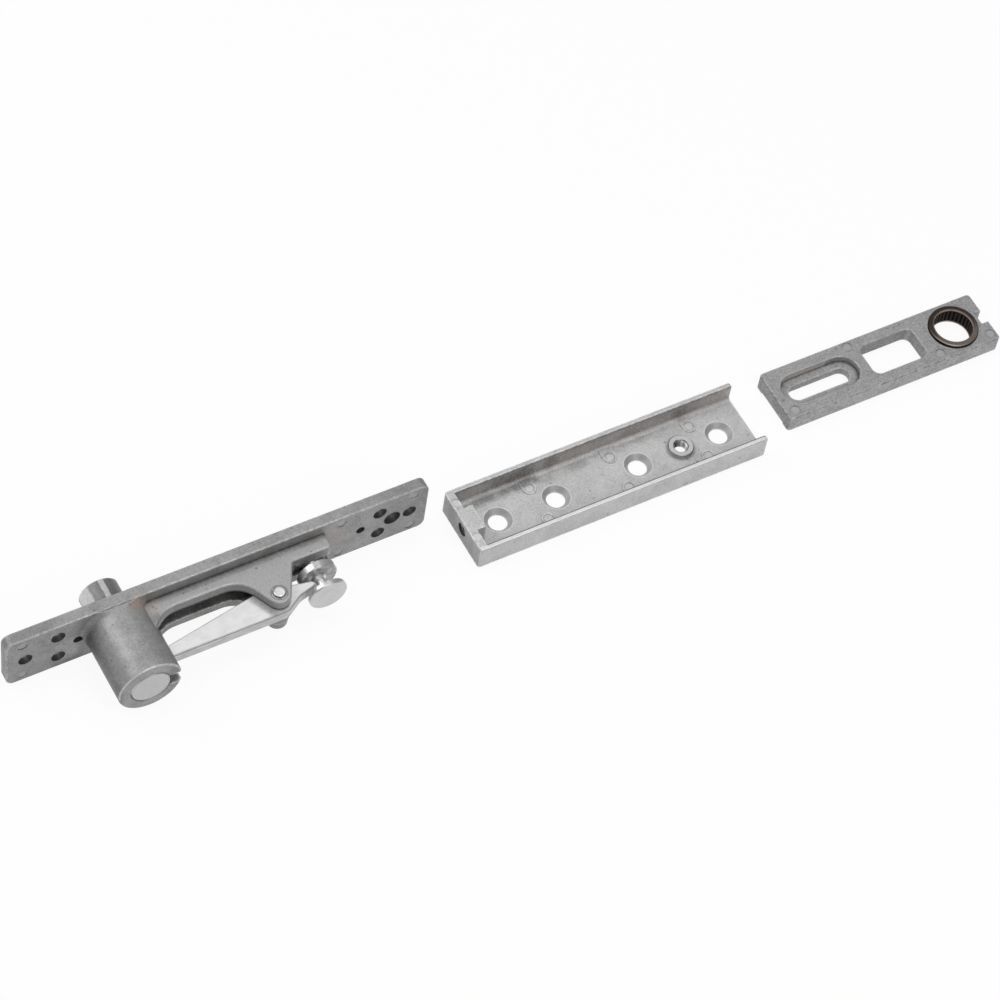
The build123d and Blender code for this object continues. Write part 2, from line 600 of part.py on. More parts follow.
def door_channel():
    """Open channel with a tapped end boss, countersunk floor holes and a seat for the insert."""
    half = CHANNEL_WIDTH / 2
    channel = block(CHANNEL_LEFT, CHANNEL_RIGHT, CHANNEL_Y - half, CHANNEL_Y + half, 0, CHANNEL_HEIGHT)
    uprights = channel.edges().filter_by(Axis.Z).sort_by(Axis.X)
    channel = fillet(uprights[:2], CHANNEL_CORNER_RADIUS)
    inner = half - CHANNEL_WALL
    trough = block(
        CHANNEL_LEFT + CHANNEL_END_WALL,
        CHANNEL_RIGHT + OVERCUT,
        CHANNEL_Y - inner,
        CHANNEL_Y + inner,
        CHANNEL_FLOOR,
        CHANNEL_HEIGHT + OVERCUT,
    )
    long_feet = trough.edges().filter_by(Axis.X).sort_by(Axis.Z)[:2]
    channel -= fillet(long_feet, CHANNEL_FOOT_RADIUS)
    mouth_edges = channel.faces().sort_by(Axis.X)[-1].edges().filter_by(Axis.Y)
    wall_tops = [edge for edge in mouth_edges if edge.center().Z > CHANNEL_HEIGHT / 2]
    channel = fillet(wall_tops, CHANNEL_MOUTH_RADIUS)
    boss_half = END_BOSS_WIDTH / 2
    channel += block(
        CHANNEL_LEFT + CHANNEL_CORNER_RADIUS,
        CHANNEL_LEFT + END_BOSS_LENGTH,
        CHANNEL_Y - boss_half,
        CHANNEL_Y + boss_half,
        CHANNEL_FLOOR / 2,
        CHANNEL_HEIGHT,
    )
    top_edges = channel.faces().sort_by(Axis.Z)[-1].edges()
    rounded_off = CHANNEL_RIGHT - CHANNEL_MOUTH_RADIUS - CHANNEL_EDGE_RADIUS
    channel = fillet([edge for edge in top_edges if edge.center().X < rounded_off], CHANNEL_EDGE_RADIUS)
    sink_depth = FLOOR_SINK_RADIUS - FLOOR_HOLE_RADIUS
    profile = [
        (0, -OVERCUT),
        (FLOOR_HOLE_RADIUS, -OVERCUT),
        (FLOOR_HOLE_RADIUS, CHANNEL_FLOOR - sink_depth),
        (FLOOR_SINK_RADIUS, CHANNEL_FLOOR),
        (FLOOR_SINK_RADIUS, CHANNEL_FLOOR + OVERCUT),
        (0, CHANNEL_FLOOR + OVERCUT),
    ]
    places = [CHANNEL_LEFT + run for run in FLOOR_HOLES_FROM_BOSS_END]
    places += [CHANNEL_RIGHT - run for run in FLOOR_HOLES_FROM_MOUTH]
    for place in places:
        channel -= upright_revolve(place, CHANNEL_Y, profile)
    seat = INSERT_SHANK_RADIUS + INSERT_CLEARANCE
    channel -= upright_cylinder(INSERT_X, CHANNEL_Y, seat, -OVERCUT, CHANNEL_FLOOR + OVERCUT)
    for run in CHANNEL_MARK_RUNS:
        for side in (-1, 1):
            x = CHANNEL_RIGHT - run
            y = CHANNEL_Y + side * CHANNEL_MARK_OFFSET
            low = CHANNEL_FLOOR + CHANNEL_PAD_RISE - MARK_DEPTH
            channel += ejector_pad(x, side)
            channel -= upright_cylinder(x, y, MARK_RADIUS, low, CHANNEL_HEIGHT / 2)
    for offset in END_WALL_MARKS:
        x = CHANNEL_LEFT + END_WALL_MARK_RUN
        y = CHANNEL_Y + offset
        low = CHANNEL_HEIGHT - MARK_DEPTH
        channel -= upright_cylinder(x, y, MARK_RADIUS, low, CHANNEL_HEIGHT + OVERCUT)
    end_face = Plane(origin=(CHANNEL_LEFT, CHANNEL_Y, END_HOLE_HEIGHT), x_dir=(0, 1, 0), z_dir=(1, 0, 0))
    channel -= extrude(end_face.offset(-OVERCUT) * Circle(TAPPED_HOLE_RADIUS), END_BOSS_LENGTH + 2 * OVERCUT)
    mouth = [
        (0, 0),
        (TAPPED_HOLE_RADIUS + TAPPED_MOUTH_CHAMFER, 0),
        (TAPPED_HOLE_RADIUS, TAPPED_MOUTH_CHAMFER),
        (0, TAPPED_MOUTH_CHAMFER),
    ]
    mouth_plane = Plane(origin=(CHANNEL_LEFT, CHANNEL_Y, END_HOLE_HEIGHT), x_dir=(0, 1, 0), z_dir=(0, 0, -1))
    mouth_axis = Axis((CHANNEL_LEFT, CHANNEL_Y, END_HOLE_HEIGHT), (1, 0, 0))
    return channel - revolve(mouth_plane * make_face(Polyline(*mouth, close=True)), mouth_axis)


def threaded_insert():
    """Threaded bush pressed into the channel floor, its collar standing on the floor."""
    top = CHANNEL_FLOOR + INSERT_COLLAR_HEIGHT
    soft = INSERT_EDGE_CHAMFER
    profile = [
        (TAPPED_HOLE_RADIUS, 0),
        (INSERT_SHANK_RADIUS, 0),
        (INSERT_SHANK_RADIUS, CHANNEL_FLOOR),
        (INSERT_COLLAR_RADIUS, CHANNEL_FLOOR),
        (INSERT_COLLAR_RADIUS, top - soft),
        (INSERT_COLLAR_RADIUS - soft, top),
        (TAPPED_HOLE_RADIUS + soft, top),
        (TAPPED_HOLE_RADIUS, top - soft),
    ]
    return upright_revolve(INSERT_X, CHANNEL_Y, profile)


def end_load_arm():
    """Arm with a stepped slot, a window, the bearing eye, an end notch and a relieved underside."""
    half = ARM_WIDTH / 2
    right = ARM_LEFT + ARM_LENGTH
    arm = block(ARM_LEFT, right, ARM_Y - half, ARM_Y + half, 0, ARM_HEIGHT)
    arm = fillet(arm.edges().filter_by(Axis.Z), ARM_CORNER_RADIUS)
    rail = half - ARM_RAIL_WIDTH
    arm -= block(ARM_LEFT - OVERCUT, right + OVERCUT, ARM_Y - rail, ARM_Y + rail, -OVERCUT, ARM_RELIEF_DEPTH)
    slot_x = ARM_LEFT + SEAT_FROM_END + SEAT_LENGTH / 2
    ledge = ARM_HEIGHT - SEAT_DEPTH
    arm -= Pos(slot_x, ARM_Y, ledge) * extrude(SlotOverall(SEAT_LENGTH, SEAT_WIDTH), SEAT_DEPTH + OVERCUT)
    slot_length = SEAT_LENGTH - SEAT_WIDTH + SLOT_WIDTH
    arm -= Pos(slot_x, ARM_Y, -OVERCUT) * extrude(SlotOverall(slot_length, SLOT_WIDTH), ARM_HEIGHT)
    window_start = ARM_LEFT + SEAT_FROM_END + SEAT_LENGTH + WINDOW_FROM_SEAT
    window_end = BEARING_X - WINDOW_FROM_BEARING
    window_x = (window_start + window_end) / 2
    window = RectangleRounded(window_end - window_start, WINDOW_WIDTH, WINDOW_CORNER_RADIUS)
    arm -= Pos(window_x, ARM_Y, -OVERCUT) * extrude(window, ARM_HEIGHT + 2 * OVERCUT)
    notch_half = NOTCH_WIDTH / 2
    arm -= block(
        right - NOTCH_DEPTH,
        right + OVERCUT,
        ARM_Y - notch_half,
        ARM_Y + notch_half,
        -OVERCUT,
        ARM_HEIGHT + OVERCUT,
    )
    arm = fillet(arm.faces().sort_by(Axis.Z)[-1].edges(), ARM_EDGE_RADIUS)
    eye = CUP_RADIUS + CUP_CLEARANCE
    arm -= upright_cylinder(BEARING_X, ARM_Y, eye, -OVERCUT, ARM_HEIGHT + OVERCUT)
    for run, offset in ARM_MARKS:
        x = right - run
        low = ARM_HEIGHT - MARK_DEPTH
        arm -= upright_cylinder(x, ARM_Y + offset, MARK_RADIUS, low, ARM_HEIGHT + OVERCUT)
    return arm


def bearing_cup():
    """Drawn cup of the needle bearing, turned in at both ends to hold the rollers."""
    base = CUP_BASE
    top = ARM_HEIGHT + CUP_PROUD
    race = CUP_RADIUS - CUP_WALL
    profile = [
        (CUP_LIP_RADIUS, base),
        (CUP_RADIUS, base),
        (CUP_RADIUS, top),
        (CUP_LIP_RADIUS, top),
        (CUP_LIP_RADIUS, top - CUP_LIP_THICKNESS),
        (race, top - CUP_LIP_THICKNESS),
        (race, base + CUP_LIP_THICKNESS),
        (CUP_LIP_RADIUS, base + CUP_LIP_THICKNESS),
    ]
    cup = upright_revolve(BEARING_X, ARM_Y, profile)
    rims = cup.edges().filter_by(GeomType.CIRCLE).sort_by(SortBy.RADIUS)[-2:]
    return fillet(rims, CUP_EDGE_RADIUS)


def needle_roller(index):
    """One needle of the full row between the cup's wall and the pin."""
    orbit = CUP_RADIUS - CUP_WALL - ROLLER_CLEARANCE - ROLLER_RADIUS
    angle = 2 * math.pi * index / ROLLER_COUNT
    x = BEARING_X + orbit * math.cos(angle)
    y = ARM_Y + orbit * math.sin(angle)
    bottom = CUP_BASE + CUP_LIP_THICKNESS + ROLLER_END_PLAY
    top = ARM_HEIGHT + CUP_PROUD - CUP_LIP_THICKNESS - ROLLER_END_PLAY
    return upright_cylinder(x, y, ROLLER_RADIUS, bottom, top)


pieces = {
    "frame_casting": frame_casting(),
    "pivot_pin": pivot_pin(),
    "lever": lever(),
    "lever_rivet": lever_rivet(),
    "adjusting_screw": adjusting_screw(),
    "door_channel": door_channel(),
    "threaded_insert": threaded_insert(),
    "end_load_arm": end_load_arm(),
    "bearing_cup": bearing_cup(),
}
for number in range(ROLLER_COUNT):
    pieces[f"needle_roller_{number + 1:02d}"] = needle_roller(number)

os.makedirs("parts", exist_ok=True)
for name, solid in pieces.items():
    export_step(solid, f"parts/{name}.step")
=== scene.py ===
import logging
import math
from dataclasses import dataclass
from enum import Enum
from typing import Any, Iterable, Mapping

import bmesh
import bpy
from mathutils import Matrix, Vector


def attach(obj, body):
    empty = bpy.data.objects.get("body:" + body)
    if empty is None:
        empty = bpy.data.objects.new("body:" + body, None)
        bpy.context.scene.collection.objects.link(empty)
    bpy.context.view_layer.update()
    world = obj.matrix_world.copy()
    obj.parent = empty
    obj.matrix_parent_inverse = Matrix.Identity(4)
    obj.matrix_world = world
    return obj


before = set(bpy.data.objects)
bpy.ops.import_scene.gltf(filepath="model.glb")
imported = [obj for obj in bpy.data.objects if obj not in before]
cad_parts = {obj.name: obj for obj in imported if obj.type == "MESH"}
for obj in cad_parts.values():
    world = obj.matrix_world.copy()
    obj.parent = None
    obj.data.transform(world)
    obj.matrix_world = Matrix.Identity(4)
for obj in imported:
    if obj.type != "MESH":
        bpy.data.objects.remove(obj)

LOG = logging.getLogger("pivot_hinge")
MM = 0.001
HALF = 0.5
TURN = 2.0 * math.pi
Colour = tuple[float, float, float]
Place = tuple[float, float, float]


def grey(level: float) -> Colour:
    """A neutral colour."""
    return (level, level, level)


def scaled(colour: Colour, factor: float, limit: float = 1.0) -> Colour:
    """A colour made lighter or darker, up to a limit."""
    return tuple(min(limit, value * factor) for value in colour)


class Body(Enum):
    """The rigid bodies that new pieces ride on."""

    FIXED = "fixed_pieces"


class Along(Enum):
    """Direction of a round feature's axis, with each coordinate's share across it."""

    X = (0.0, 1.0, 1.0)
    Y = (1.0, 0.0, 1.0)
    Z = (1.0, 1.0, 0.0)


class Signal:
    """A shader output that takes part in arithmetic, so that masks are written as expressions."""

    def __init__(self, graph: "FinishGraph", socket: bpy.types.NodeSocket) -> None:
        """Hold the output socket and the graph it belongs to."""
        self.graph = graph
        self.socket = socket

    def _pair(self, operation: str, first: Any, second: Any) -> "Signal":
        """Add one Math node with two inputs, each a signal or a number."""
        return self.graph.node("ShaderNodeMath", {"operation": operation}, {0: first, 1: second})

    def __add__(self, other: Any) -> "Signal":
        """Sum."""
        return self._pair("ADD", self, other)

    def __radd__(self, other: Any) -> "Signal":
        """Sum with a number on the left."""
        return self._pair("ADD", other, self)

    def __sub__(self, other: Any) -> "Signal":
        """Difference."""
        return self._pair("SUBTRACT", self, other)

    def __rsub__(self, other: Any) -> "Signal":
        """Difference from a number on the left."""
        return self._pair("SUBTRACT", other, self)

    def __mul__(self, other: Any) -> "Signal":
        """Product."""
        return self._pair("MULTIPLY", self, other)

    def __rmul__(self, other: Any) -> "Signal":
        """Product with a number on the left."""
        return self._pair("MULTIPLY", other, self)

    def peak(self, other: Any) -> "Signal":
        """The larger of two values."""
        return self._pair("MAXIMUM", self, other)

    def least(self, other: Any) -> "Signal":
        """The smaller of two values."""
        return self._pair("MINIMUM", self, other)

    def wave(self) -> "Signal":
        """Sine of the value, in radians."""
        return self.graph.node("ShaderNodeMath", {"operation": "SINE"}, {0: self})

    def size(self) -> "Signal":
        """Value without its sign."""
        return self.graph.node("ShaderNodeMath", {"operation": "ABSOLUTE"}, {0: self})

    def between(self, low: float, high: float, start: float = 0.0, end: float = 1.0) -> "Signal":
        """Smooth step of the value, from start at low to end at high."""
        return self.graph.node(
            "ShaderNodeMapRange",
            {"interpolation_type": "SMOOTHSTEP", "clamp": True},
            {"Value": self, "From Min": low, "From Max": high, "To Min": start, "To Max": end},
        )

    def fade(self, low: float, high: float, start: float = 1.0) -> "Signal":
        """Smooth step down to nought."""
        return self.between(low, high, start, 0.0)


class FinishGraph:
    """The node tree of one material or of the world."""

    def __init__(self, holder: bpy.types.Material | bpy.types.World) -> None:
        """Start with an empty tree.

        Args:
            holder: The material or world that the tree belongs to.
        """
        self.holder = holder
        holder.use_nodes = True
        self.tree = holder.node_tree
        self.tree.nodes.clear()

    def node(
        self,
        kind: str,
        settings: Mapping[str, Any] | None = None,
        sockets: Mapping[int | str, Any] | None = None,
        output: int | str = 0,
    ) -> Signal | None:
        """Add any node.

        Args:
            kind: The node's type.
            settings: The node's own settings, set before its sockets.
            sockets: Values or signals for its inputs, by name or number.
            output: Which output to give back.

        Returns:
            The chosen output, or None for a node without outputs.
        """
        made = self.tree.nodes.new(kind)
        for key, value in (settings or {}).items():
            setattr(made, key, value)
        for key, value in (sockets or {}).items():
            if isinstance(value, Signal):
                self.tree.links.new(value.socket, made.inputs[key])
            else:
                made.inputs[key].default_value = value
        return Signal(self, made.outputs[output]) if made.outputs else None

    def vector(self, operation: str, *inputs: Any, output: int | str = 0) -> Signal:
        """Add one Vector Math node."""
        settings = {"operation": operation}
        return self.node("ShaderNodeVectorMath", settings, dict(enumerate(inputs)), output)

    def point(self, stretch: Place | None = None) -> Signal:
        """Object coordinates.

        Args:
            stretch: Factor on each axis; a small one draws a pattern out along that axis.

        Returns:
            The coordinates, in metres, scaled if a stretch is given.
        """
        here = self.node("ShaderNodeTexCoord", output="Object")
        if stretch is None:
            return here
        return self.node("ShaderNodeMapping", None, {"Vector": here, "Scale": stretch})

    def parts(self, vector: Signal) -> tuple[Signal, Signal, Signal]:
        """The three numbers of a vector."""
        first = self.node("ShaderNodeSeparateXYZ", None, {0: vector})
        return tuple(Signal(self, socket) for socket in first.socket.node.outputs)

    def noise(
        self, where: Signal, pitch_mm: float, detail: float = 2.0, rough: float = 0.5
    ) -> Signal:
        """Clouds of that pitch around a value of a half, with finer layers in them."""
        scale = 1.0 / (pitch_mm * MM)
        return self.node(
            "ShaderNodeTexNoise",
            {"noise_dimensions": "3D"},
            {"Vector": where, "Scale": scale, "Detail": detail, "Roughness": rough},
        )

    def cells(self, where: Signal, pitch_mm: float) -> Signal:
        """Distance to the nearest of scattered points, in cells of that pitch."""
        sockets = {"Vector": where, "Scale": 1.0 / (pitch_mm * MM)}
        return self.node("ShaderNodeTexVoronoi", {"feature": "F1"}, sockets)

    def across(self, where: Signal, along: Along, centres: Iterable[Place]) -> Signal:
        """Distance from the nearest of several parallel axes.

        Args:
            where: Coordinates, in metres.
            along: Direction of the axes.
            centres: A point on each axis, in millimetres.

        Returns:
            The distance, in millimetres.
        """
        flat = self.vector("MULTIPLY", where, along.value)
        nearest = None
        for centre in centres:
            spot = tuple(value * share * MM for value, share in zip(centre, along.value))
            far = self.vector("DISTANCE", flat, spot, output="Value")
            nearest = far if nearest is None else nearest.least(far)
        return nearest * (1.0 / MM)

    def _shut_in(self, reach_mm: float, inside: bool) -> Signal:
        """Share of near directions in which the piece itself lies, outside or inside its skin."""
        settings = {"samples": 8, "only_local": True, "inside": inside}
        return 1.0 - self.node(
            "ShaderNodeAmbientOcclusion", settings, {"Distance": reach_mm * MM}, "AO"
        )

    def hollows(self, reach_mm: float, low: float, high: float) -> Signal:
        """One in corners and recesses of that reach, nought on open faces, with a step between."""
        return self._shut_in(reach_mm, False).between(low, high)

    def edges(self, reach_mm: float, low: float, high: float) -> Signal:
        """One along outer edges to that reach, nought on open faces, with a step between."""
        return self._shut_in(reach_mm, True).between(low, high)

    def mix(self, share: Any, first: Any, second: Any) -> Signal:
        """Mix two colours, of which the second has that share."""
        ends = [(*value, 1.0) if isinstance(value, tuple) else value for value in (first, second)]
        return self.node(
            "ShaderNodeMix",
            {"data_type": "RGBA", "clamp_factor": True},
            {0: share, 6: ends[0], 7: ends[1]},
            2,
        )

    def bump(self, height: Signal, depth_mm: float, strength: float) -> Signal:
        """Normal bent by a relief, of which a height of one stands for that depth."""
        sockets = {"Strength": strength, "Distance": depth_mm * MM, "Height": height}
        return self.node("ShaderNodeBump", None, sockets, "Normal")

    def close(
        self, colour: Signal, metallic: float, rough: Signal, normal: Signal, **more: Any
    ) -> bpy.types.Material:
        """Finish with one metal surface.

        Args:
            colour: Base colour.
            metallic: How much of a metal it is.
            rough: Roughness.
            normal: Bent normal.
            more: Further inputs of the surface shader, with underscores for spaces.

        Returns:
            The material.
        """
        surface = {"Base Color": colour, "Metallic": metallic, "Roughness": rough, "Normal": normal}
        surface.update({name.replace("_", " "): value for name, value in more.items()})
        shader = self.node("ShaderNodeBsdfPrincipled", None, surface)
        self.node("ShaderNodeOutputMaterial", None, {"Surface": shader})
        return self.holder

    def turn(self, where: Signal, axis: Place) -> Signal:
        """Angle about an axis along Y, from X towards Z, in radians."""
        x, _, z = self.parts(where)
        return self.node(
            "ShaderNodeMath", {"operation": "ARCTAN2"}, {0: z - axis[2] * MM, 1: x - axis[0] * MM}
        )


@dataclass(frozen=True)
class Ball:
    """A soft round place on a piece, full to one radius and faded at another, in millimetres."""

    centre: Place
    inner: float
    outer: float

    def mask(self, graph: FinishGraph, here: Signal) -> Signal:
        """One inside the ball and nought outside."""
        far = graph.vector("DISTANCE", here, tuple(v * MM for v in self.centre), output="Value")
        return far.fade(self.inner * MM, self.outer * MM)


@dataclass(frozen=True)
class Slab:
    """A box on a piece, with a soft border, in millimetres."""

    low: Place
    high: Place
    soft: float

    def mask(self, graph: FinishGraph, here: Signal) -> Signal:
        """Mask of the box.

        Args:
            graph: The material's nodes.
            here: Coordinates, in metres.

        Returns:
            One inside the box and nought outside.
        """
        middle = tuple((a + b) / 2 * MM for a, b in zip(self.low, self.high))
        half = tuple((b - a) / 2 * MM for a, b in zip(self.low, self.high))
        plain = graph.vector("ABSOLUTE", graph.vector("SUBTRACT", here, middle))
        x, y, z = graph.parts(graph.vector("SUBTRACT", plain, half))
        return x.peak(y).peak(z).fade(-self.soft * MM, self.soft * MM)


@dataclass(frozen=True)
class Patch:
    """A tint that lies on one place, of which a share is broken up by clouds."""

    shape: Ball | Slab
    colour: Colour
    strength: float
    broken: float

    CLOUDS = (0.36, 0.60)

    def lay(self, graph: FinishGraph, here: Signal, cloud: Signal, under: Signal) -> Signal:
        """Lay the tint over a colour, with its broken share taken off between the clouds."""
        left = (1.0 - self.broken) + self.broken * cloud.between(*self.CLOUDS)
        return graph.mix(self.shape.mask(graph, here) * self.strength * left, under, self.colour)


Tints = tuple[Patch, ...]


@dataclass(frozen=True)
class Rounds:
    """Round features of one radius on parallel axes."""

    along: Along
    centres: tuple[Place, ...]
    radius: float

    def reach(self, graph: FinishGraph, here: Signal) -> Signal:
        """Distance from the nearest axis, in millimetres."""
        return graph.across(here, self.along, self.centres)


@dataclass(frozen=True)
class CastSkin:
    """Blasted die-cast surface: fine grain, dull clouds, small pits, bright specks, tints, painted
    shade in hollows and bores, and edges lightened as wear and painted highlight.
    """

    name: str
    tone: Colour
    shade: Colour
    metallic: float
    roughness: float
    grain: float
    cloud: float
    relief: float
    contrast: float
    rubbed: float
    patches: Tints = ()
    bores: tuple[Rounds, ...] = ()
    marks: tuple[Rounds, ...] = ()
    rims: tuple[Rounds, ...] = ()
    stains: tuple[Rounds, ...] = ()
    lines: Tints = ()

    # Steps of the noises, as (low, high).
    DULL_CLOUDS, DULL_COARSE = (0.36, 0.66), (0.34, 0.66)
    DARK_GRAIN, LIGHT_GRAIN = (0.52, 0.72), (0.48, 0.28)
    PIT_CORE, PIT_FIELDS = (0.10, 0.22), (0.50, 0.62)
    GRIME_GAPS, RUB_GAPS = (0.36, 0.58), (0.58, 0.40)
    # Reach in millimetres and step of what the piece shuts in, as (reach, low, high).
    GRIME, CORNER, RUB = (2.6, 0.08, 0.50), (0.9, 0.22, 0.48), (1.2, 0.12, 0.30)
    # Share of a tint and its factor on the tone or the shade.
    PIT_TINT, GRIME_TINT, CORNER_TINT = (0.6, 0.4), (0.7, 0.28), (0.6, 0.14)
    MARK_TOP, MARK_LINE, MARK_HALO = (0.42, 1.28), (0.45, 0.5), (0.15, 0.6)
    SINK_FAR, SINK_LINE = (0.45, 0.45), (0.5, 1.3)

    def build(self) -> bpy.types.Material:
        """Make the material.

        Returns:
            The material.
        """
        graph = FinishGraph(bpy.data.materials.new(self.name))
        here = graph.point()
        fine = graph.noise(here, self.grain, 2.0, 0.6)
        coarse = graph.noise(here, self.grain * 2.6, 3.0, 0.6)
        cloud = graph.noise(here, self.cloud, 4.0, 0.55)
        pit = graph.cells(here, self.grain * 5.0).fade(*self.PIT_CORE)
        pit = pit * graph.noise(here, self.cloud * 0.6).between(*self.PIT_FIELDS)
        dull = cloud.between(*self.DULL_CLOUDS) * 0.55 + coarse.between(*self.DULL_COARSE) * 0.45
        colour = graph.mix(dull, self.tone, self.shade)
        for patch in self.patches:
            colour = patch.lay(graph, here, cloud, colour)
        dark, light = scaled(self.shade, 0.55), scaled(self.tone, 1.45)
        colour = graph.mix(fine.between(*self.DARK_GRAIN) * self.contrast, colour, dark)
        colour = graph.mix(fine.between(*self.LIGHT_GRAIN) * self.contrast, colour, light)
        colour = self._tint(graph, pit, self.PIT_TINT, colour)
        colour = self._rounds(graph, here, colour)
        # Painted shade in hollows, broken up by coarse clouds, and darker painted shade in tight
        # corners.
        grime = graph.hollows(*self.GRIME) * (HALF + HALF * coarse.between(*self.GRIME_GAPS))
        colour = self._tint(graph, grime, self.GRIME_TINT, colour)
        colour = self._tint(graph, graph.hollows(*self.CORNER), self.CORNER_TINT, colour)
        # Convex edges are lightened, partly as wear and partly as a painted highlight.
        rub = graph.edges(*self.RUB) * (0.35 + 0.65 * coarse.between(*self.RUB_GAPS))
        for row in self.bores:
            reach = row.reach(graph, here)
            crest = reach.fade(row.radius - 0.3, row.radius - 0.1)
            rub = rub * reach.between(row.radius + 0.7, row.radius + 1.6).peak(crest)
        colour = graph.mix(rub * self.rubbed, colour, scaled(self.tone, 2.3, 0.95))
        for patch in self.lines:
            colour = patch.lay(graph, here, coarse, colour)
        rough = self.roughness + (fine - HALF) * 0.35 + (cloud - HALF) * 0.16 - rub * 0.1
        height = fine * 0.55 + coarse * 0.35 + cloud * 0.2 - pit * 0.6
        return graph.close(colour, self.metallic, rough, graph.bump(height, self.relief, 0.9))

    def _tint(
        self, graph: FinishGraph, mask: Signal, tint: tuple[float, float], colour: Signal
    ) -> Signal:
        """Lay a darker shade, or a lighter tone where the factor is above one, on a mask."""
        base = self.tone if tint[1] > 1.0 else self.shade
        return graph.mix(mask * tint[0], colour, scaled(base, tint[1]))

    def _rounds(self, graph: FinishGraph, here: Signal, colour: Signal) -> Signal:
        """Paint shade on bore walls, at the step of each ejector mark and on the far side of sinks,
        and lighten sink rims.

        Args:
            graph: The material's nodes.
            here: Coordinates, in metres.
            colour: The colour so far.

        Returns:
            The colour with the round features.
        """
        # Bore walls are painted near-black, as shade inside the holes.
        for row in self.bores:
            wall = row.reach(graph, here).fade(row.radius + 0.03, row.radius + 0.35, 0.88)
            colour = graph.mix(wall, colour, grey(0.03))
        for row in self.marks:
            reach = row.reach(graph, here)
            # The line round each mark is painted shade at its step.
            line = (reach - row.radius).size().fade(0.12, 0.42)
            halo = (reach - row.radius * 1.25).size().fade(0.15, 0.5)
            top = reach.fade(row.radius * 0.3, row.radius)
            colour = self._tint(graph, top, self.MARK_TOP, colour)
            colour = self._tint(graph, line, self.MARK_LINE, colour)
            colour = self._tint(graph, halo, self.MARK_HALO, colour)
        # Darker rings round given axes, such as the rivet's.
        for row in self.stains:
            stain = row.reach(graph, here).fade(row.radius, row.radius + 0.8, 0.8)
            colour = graph.mix(stain, colour, scaled(self.shade, 0.3))
        _, side, _ = graph.parts(here)
        for row in self.rims:
            reach = row.reach(graph, here)
            middle = row.centres[0][1]
            sink = reach.fade(row.radius - 0.15, row.radius + 0.05)
            # The far side of each sink gets painted shade.
            far = side.between((middle - 2.0) * MM, (middle + 5.0) * MM)
            turned = ((reach * 9.0).wave() * HALF + HALF) * 0.25 + 0.65
            line = (reach - row.radius - 0.25).size().fade(0.1, 0.4)
            colour = graph.mix(sink * turned, colour, scaled(self.shade, 0.95))
            colour = self._tint(graph, sink * far, self.SINK_FAR, colour)
            colour = self._tint(graph, line, self.SINK_LINE, colour)
        return colour


@dataclass(frozen=True)
class PlatedSteel:
    """Bright plated steel: cloudy tone with short scuffs, sides painted darker as shade and as
    duller cut faces, a painted shade line under the top, painted shade in hollows, and a painted
    edge colour.
    """

    name: str
    tone: Colour
    shade: Colour
    side: Colour
    flat_level: float
    metallic: float
    roughness: float
    along: Place | None = None
    patches: Tints = ()
    seam: float = 0.34
    seam_half: float = 0.26
    edge: Colour = (0.90, 0.90, 0.90)
    rubbed: float = 0.3

    # Steps of the noises, as (low, high), and of what the piece shuts in, as (reach, low, high).
    CLOUDS, SCUFFS, SPECKS = (0.36, 0.68), (0.50, 0.72), (0.5, 0.72)
    CUT_SCUFFS = (0.36, 0.66)
    RUB, GRIME = (1.0, 0.10, 0.34), (1.5, 0.10, 0.50)

    def build(self) -> bpy.types.Material:
        """Make the material.

        Returns:
            The material.
        """
        graph = FinishGraph(bpy.data.materials.new(self.name))
        here = graph.point()
        _, _, level = graph.parts(here)
        flat = level.between((self.flat_level - 0.2) * MM, self.flat_level * MM)
        scuff = graph.noise(graph.point(self.along), 0.7, 3.0, 0.6)
        cloud = graph.noise(here, 6.0, 3.0)
        fine = graph.noise(here, 0.5)
        share = cloud.between(*self.CLOUDS) * 0.4 + scuff.between(*self.SCUFFS) * 0.35
        share = share + fine.between(*self.SPECKS) * 0.25
        # The sides are painted darker than the top, partly as duller cut faces and partly as
        # painted shade.
        cut = graph.mix(scuff.between(*self.CUT_SCUFFS), self.side, scaled(self.side, 0.72))
        colour = graph.mix(flat, cut, graph.mix(share, self.tone, self.shade))
        # Edges take the edge colour: wear and a painted highlight where it is light, painted shade
        # where it is dark.
        colour = graph.mix(graph.edges(*self.RUB) * self.rubbed, colour, self.edge)
        for patch in self.patches:
            colour = patch.lay(graph, here, cloud, colour)
        # A painted shade line runs just under the top face.
        below = (level - (self.flat_level - self.seam) * MM).size()
        line = below.fade(self.seam_half * 0.46 * MM, self.seam_half * MM)
        colour = graph.mix(line * 0.7, colour, scaled(self.side, 0.25))
        # Painted shade in hollows.
        colour = graph.mix(graph.hollows(*self.GRIME) * 0.7, colour, grey(0.08))
        rough = self.roughness + (scuff - HALF) * 0.2 + (cloud - HALF) * 0.12
        relief = graph.bump(scuff * HALF + fine * HALF, 0.018, 0.7)
        return graph.close(colour, self.metallic, rough, relief)


